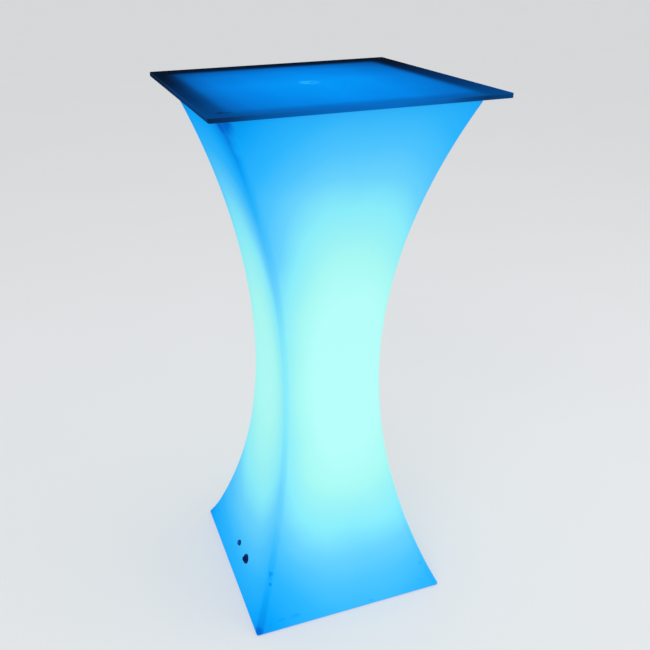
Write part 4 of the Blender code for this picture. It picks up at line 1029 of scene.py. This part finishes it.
def make_rests():
    """The clear pads under the glass's corners, and the suction cup in the middle."""
    bottom, top = BODY_TOP + SEAT_GAP, GLASS_UNDER - SEAT_GAP
    outline = [
        (0, bottom), (PAD_RADIUS, bottom, HAIR_ROUND), (PAD_RADIUS, top, PAD_ROUND), (0, top),
    ]
    pad = ("corner_bumper", turned("corner_bumper", outline), "clear_plastic", "corner_pad", 0)
    repeated(square_places(PAD_PLACE), pad)
    stem_end, dish = bottom - CUP_STEM_LENGTH, top - CUP_LIP
    outline = [
        (0, stem_end), (CUP_STEM_RADIUS, stem_end, STEM_ROUND), (CUP_STEM_RADIUS, bottom),
        (CUP_NECK, bottom), (CUP_RADIUS, dish), (CUP_RADIUS, top), (CUP_NECK, dish),
        (CUP_STEM_RADIUS / 2, dish), (CUP_STEM_RADIUS / 2, bottom), (0, bottom),
    ]
    mesh = turned("suction_cup", outline, ROUND_STEPS)
    piece("suction_cup", mesh, "clear_plastic", ["centre_suction_cup"])


def screw_mesh(name, shank_radius, head_radius, head_height, length):
    """A socket screw that points up, with the underside of its head at zero."""
    point = shank_radius / 2
    outline = [
        (0, -head_height), (head_radius, -head_height, HEAD_ROUND), (head_radius, 0),
        (shank_radius, 0), (shank_radius, length - point), (shank_radius - point, length),
        (0, length),
    ]
    depth, radius = head_height * HEX_DEPTH_SHARE, head_radius * HEX_RADIUS_SHARE
    ends = (-head_height - depth, depth - head_height)
    socket = rods(name + "_socket", radius, *ends, steps=HEX_SIDES)
    return carved(name, turned(name, outline), [cut(socket)])


def make_feet():
    """Rubber feet with two grooves underneath, and their screws."""
    head_hole, shank_hole = FOOT_HEAD_RADIUS + SEAT_GAP, FOOT_SCREW_RADIUS + SEAT_GAP
    ledge = FOOT_HEAD_TOP + SEAT_GAP
    outline = [
        (head_hole, -BODY_BOTTOM), *grooves(FOOT_GROOVES, -BODY_BOTTOM, *FOOT_GROOVE),
        (FOOT_RADIUS, -BODY_BOTTOM, SOFT_ROUND), (FOOT_RADIUS, FOOT_TOP), (shank_hole, FOOT_TOP),
        (shank_hole, ledge), (head_hole, ledge),
    ]
    foot = turned("rubber_foot", outline)
    head = (FOOT_HEAD_RADIUS, FOOT_HEAD_HEIGHT)
    screw = screw_mesh("foot_socket_screw", FOOT_SCREW_RADIUS, *head, FOOT_SCREW_LENGTH)
    repeated(
        square_places(FOOT_PLACE),
        ("rubber_foot", foot, "black_rubber", "foot", BODY_BOTTOM),
        ("foot_socket_screw", screw, "steel", "foot_screw", BODY_BOTTOM + FOOT_HEAD_TOP),
    )


def make_cover():
    """The moulded cover of the floor's opening, with its posts, and its screws."""
    outline = [
        (0, COVER_BOTTOM), *grooves(COVER_GROOVES, COVER_BOTTOM, *COVER_GROOVE),
        (COVER_RADIUS, COVER_BOTTOM, SOFT_ROUND), (COVER_RADIUS, COVER_TOP, FINE_ROUND),
        (SPIGOT_RADIUS, COVER_TOP), (SPIGOT_RADIUS, COVER_TOP + SPIGOT_HEIGHT, SMALL_ROUND),
        (SPIGOT_BORE, COVER_TOP + SPIGOT_HEIGHT, SMALL_ROUND), (SPIGOT_BORE, COVER_TOP),
        (0, COVER_TOP),
    ]
    screws, hole = on_circle(COVER_SCREW_CIRCLE, 4), COVER_SCREW_RADIUS + SEAT_GAP
    through = (COVER_BOTTOM - CUT_OVERRUN, COVER_TOP + CUT_OVERRUN)
    steps = [cut(rods("cover_holes", hole, *through, screws))]
    control_posts = [(side * CONTROL_POST_X, CONTROL_POST_Y) for side in (1, -1)]
    for name, places, top in (
        ("led_posts", on_circle(LED_POST_CIRCLE, 3, 90), LED_POST_TOP),
        ("strap_posts", [(0, STRAP_POST_OFFSET), (0, -STRAP_POST_OFFSET)], STRAP_POST_TOP),
        ("control_posts", control_posts, CONTROL_POST_TOP),
    ):
        posts = rods(name, POST_RADIUS, COVER_TOP - FUSE_DEPTH, top, places)
        bottom = max(top - SMALL_SCREW_LENGTH - END_ROOM, COVER_BOTTOM + LEAST_BORE_FLOOR)
        radius = SMALL_SCREW_RADIUS + SEAT_GAP
        bores = rods(name + "_bores", radius, bottom, top + CUT_OVERRUN, places)
        steps += [fused(posts), cut(bores)]
    mesh = carved("moulded_cover", turned("moulded_cover", outline, ROUND_STEPS), steps)
    mesh.transform(BODY_PLACE)
    piece("moulded_cover", mesh, "white_plastic", ["base_cover"])
    head = (COVER_HEAD_RADIUS, COVER_HEAD_HEIGHT)
    screw = screw_mesh("cover_socket_screw", COVER_SCREW_RADIUS, *head, COVER_SCREW_LENGTH)
    head_under = BODY_BOTTOM + (COVER_BOTTOM - SEAT_GAP)
    repeated(screws, ("cover_socket_screw", screw, "steel", "cover_screw", head_under))


def make_controls():
    """The switch and the charging socket, with rounded flanges, seals, button and plug."""
    def control(name, mesh, slot, node, finish, place, body="table"):
        return piece(name, mesh, slot, [node], place, body, [finish])

    # The black controls wear blue finishes: painted glow from the body
    switch = BODY_PLACE @ control_place(SWITCH_OFFSET)
    socket = BODY_PLACE @ control_place(SOCKET_OFFSET)
    mouth, chamber = BUTTON_RADIUS + SEAT_GAP, BUTTON_SHOULDER_RADIUS + SEAT_GAP
    bore_floor = SPRING_BOTTOM - SEAT_GAP
    outline = [
        (0, SWITCH_BACK), (SWITCH_BARREL_RADIUS, SWITCH_BACK, SOFT_ROUND),
        (SWITCH_BARREL_RADIUS, FLANGE_BOTTOM), (SWITCH_FLANGE_RADIUS, FLANGE_BOTTOM, FINE_ROUND),
        (SWITCH_FLANGE_RADIUS, SWITCH_FACE, FLANGE_ROUND), (mouth, SWITCH_FACE, SMALL_ROUND),
        (mouth, SWITCH_FACE - BARREL_LIP), (chamber, SWITCH_FACE - BARREL_LIP),
        (chamber, bore_floor), (0, bore_floor),
    ]
    mesh = turned("switch_body", outline)
    control("switch_body", mesh, "black_plastic", "switch_barrel", "blue_lit_black_plastic", switch)
    dome = BUTTON_RADIUS * BUTTON_DOME_SHARE
    straight = BUTTON_TOP - dome
    outline = [
        (0, BUTTON_BOTTOM), (BUTTON_SHOULDER_RADIUS, BUTTON_BOTTOM, HAIR_ROUND),
        (BUTTON_SHOULDER_RADIUS, BUTTON_SHOULDER_TOP, HAIR_ROUND),
        (BUTTON_RADIUS, BUTTON_SHOULDER_TOP), (BUTTON_RADIUS, straight),
    ]
    for step in range(1, DOME_STEPS):
        angle = math.pi / 2 * step / DOME_STEPS
        outline.append((BUTTON_RADIUS * math.cos(angle), straight + dome * math.sin(angle)))
    outline.append((0, BUTTON_TOP))
    mesh = turned("button_cap", outline)
    control("button_cap", mesh, "black_rubber", "power_button", "blue_lit_black_rubber", switch, "button")
    coil = (SPRING_RADIUS, SPRING_WIRE_RADIUS, SPRING_BOTTOM, SPRING_TOP, SPRING_TURNS)
    mesh = wound("press_spring", *coil)
    spring = control("press_spring", mesh, "steel", "button_spring", "steel", switch)
    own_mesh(spring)
    pin_hole = PIN_RADIUS + SEAT_GAP
    outline = [
        (pin_hole, SOCKET_BACK), (SOCKET_BARREL_RADIUS, SOCKET_BACK, SMALL_ROUND),
        (SOCKET_BARREL_RADIUS, FLANGE_BOTTOM), (SOCKET_FLANGE_RADIUS, FLANGE_BOTTOM, HAIR_ROUND),
        (SOCKET_FLANGE_RADIUS, SOCKET_FACE, SOFT_ROUND),
        (SOCKET_BORE_RADIUS, SOCKET_FACE, FINE_ROUND),
        (SOCKET_BORE_RADIUS, SOCKET_FACE - SOCKET_BORE_DEPTH),
        (pin_hole, SOCKET_FACE - SOCKET_BORE_DEPTH),
    ]
    mesh = turned("charging_socket", outline)
    control("charging_socket", mesh, "black_plastic", "socket_barrel", "blue_lit_black_plastic", socket)
    stem_end, stem_radius = PLUG_CAP_UNDER - PLUG_STEM_LENGTH, SOCKET_BORE_RADIUS - SEAT_GAP
    outline = [
        (0, PIN_TIP + SEAT_GAP), (pin_hole, PIN_TIP + SEAT_GAP), (pin_hole, stem_end),
        (stem_radius, stem_end, FINE_ROUND), (stem_radius, PLUG_CAP_UNDER),
        (PLUG_CAP_RADIUS, PLUG_CAP_UNDER, HAIR_ROUND),
        (PLUG_CAP_RADIUS, PLUG_CAP_TOP - PLUG_EDGE_DROP, CAP_ROUND),
        (PLUG_DISH_RADIUS, PLUG_CAP_TOP, HEAD_ROUND),
        (PLUG_DISH_FLOOR_RADIUS, PLUG_CAP_TOP - PLUG_DISH_DEPTH, HEAD_ROUND),
        (0, PLUG_CAP_TOP - PLUG_DISH_DEPTH),
    ]
    mesh = turned("plug_cap", outline)
    control("plug_cap", mesh, "black_rubber", "dust_plug", "bright_blue_lit_black_rubber", socket, "plug")
    for name, barrel, flange, place in (
        ("switch_seal", SWITCH_BARREL_RADIUS, SWITCH_FLANGE_RADIUS, switch),
        ("socket_seal", SOCKET_BARREL_RADIUS, SOCKET_FLANGE_RADIUS, socket),
    ):
        inner = barrel + SEAT_GAP
        outline = [(inner, SEAL_BOTTOM), (flange, SEAL_BOTTOM, FINE_ROUND)]
        outline += [(flange, SEAL_TOP, FINE_ROUND), (inner, SEAL_TOP)]
        mesh = turned(name + "_ring", outline)
        control(name + "_ring", mesh, "black_rubber", name, "blue_lit_black_rubber", place)


# What the CAD nodes that stay are made of, by part of a name; the rest are steel
NODE_SLOTS = (
    ("base_gasket", "grey_foam"), ("cover_insert", "brass"), ("socket_pin", "brass"),
    ("led_board", "white_board"), ("led_chip", "light_chip"), ("diffuser_dome", "clear_plastic"),
    ("battery_pack", "battery_wrap"), ("control_board", "green_board"),
    ("switch_nut", "black_plastic"), ("socket_nut", "black_plastic"), ("lead", "lead_jacket"),
)


def dress_nodes():
    """Better finishes on the CAD nodes that stay."""
    for name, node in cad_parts.items():
        if node.hide_render:
            continue
        slot = next((slot for part, slot in NODE_SLOTS if part in name), "steel")
        for place in node.material_slots:
            place.material = LOOKS[slot]


# The room

def seen_rays(tree):
    """1 for rays from the camera, mirrors and clear pieces, and 0 for light on surfaces."""
    rays = tree.nodes.new("ShaderNodeLightPath").outputs
    seen = maths("MAXIMUM", rays["Is Camera Ray"], rays["Is Glossy Ray"])
    return maths("MAXIMUM", seen, rays["Is Transmission Ray"])


def make_floor():
    """A plain pale floor that keeps the table's shadow."""
    look, shader, place = new_look("pale floor")
    tree = look.node_tree
    colour = blend(noise(place, *FLOOR_CLOUD), *FLOOR_COLOURS)
    settle(shader, Base_Color=colour, Roughness=0.85, Specular_IOR_Level=0.1)
    bump(shader, (noise(place, *FLOOR_GRAIN), *FLOOR_BUMP))
    pale = tree.nodes.new("ShaderNodeEmission")
    settle(pale, Color=FLOOR_SEEN)
    share = times(seen_rays(tree), FLOOR_PALE_SHARE)
    mixed = new_node("MixShader", share, shader.outputs[0], pale.outputs[0])
    settle(tree.nodes["Material Output"], Surface=mixed.outputs[0])
    mesh = bpy.data.meshes.new("pale_floor")
    corners = [(x, y, 0) for x, y in square_places(FLOOR_HALF)]
    mesh.from_pydata(corners, [], [(0, 1, 2, 3)])
    mesh.materials.append(look)
    floor = placed("pale_floor", mesh)


def make_world():
    """An even pale surround: plain light on the object, and a pale tone wherever it is seen."""
    world = bpy.data.worlds.new("studio")
    bpy.context.scene.world = world
    world.use_nodes = True
    tree = world.node_tree
    light = times_plus(seen_rays(tree), SEEN_LIGHT, ROOM_LIGHT)
    settle(tree.nodes["Background"], Color=ROOM_COLOUR, Strength=light)


def make_lamp(name, place, size, energy):
    lamp = bpy.data.lights.new(name, "AREA")
    lamp.shape = "SQUARE"
    lamp.size = size
    lamp.energy = energy
    made = placed(name, lamp)
    made.location = place
    towards = Vector(LAMP_TARGET) - Vector(place)
    made.rotation_euler = towards.to_track_quat("-Z", "Y").to_euler()


def make_camera():
    data = bpy.data.cameras.new("view")
    data.sensor_width = SENSOR_WIDTH
    data.lens = FOCAL_PIXELS / IMAGE_SIDE * SENSOR_WIDTH
    data.shift_x = 0.5 - MIDDLE_X / IMAGE_SIDE
    data.shift_y = MIDDLE_Y / IMAGE_SIDE - 0.5
    data.clip_start, data.clip_end = CLIP_NEAR, CLIP_FAR
    turn = Matrix((EYE_RIGHT, EYE_UP, [-value for value in EYE_AHEAD])).transposed()
    place = Matrix.Translation(EYE) @ turn.to_4x4()
    bpy.context.scene.camera = placed("view", data, place)


for make in (
    make_camera, make_body, make_glass, make_rests, make_feet, make_cover, make_controls,
    dress_nodes, make_floor, make_world,
):
    make()
for lamp in LAMPS:
    make_lamp(*lamp)
bpy.context.scene.view_settings.view_transform = "Standard"
bpy.context.view_layer.update()
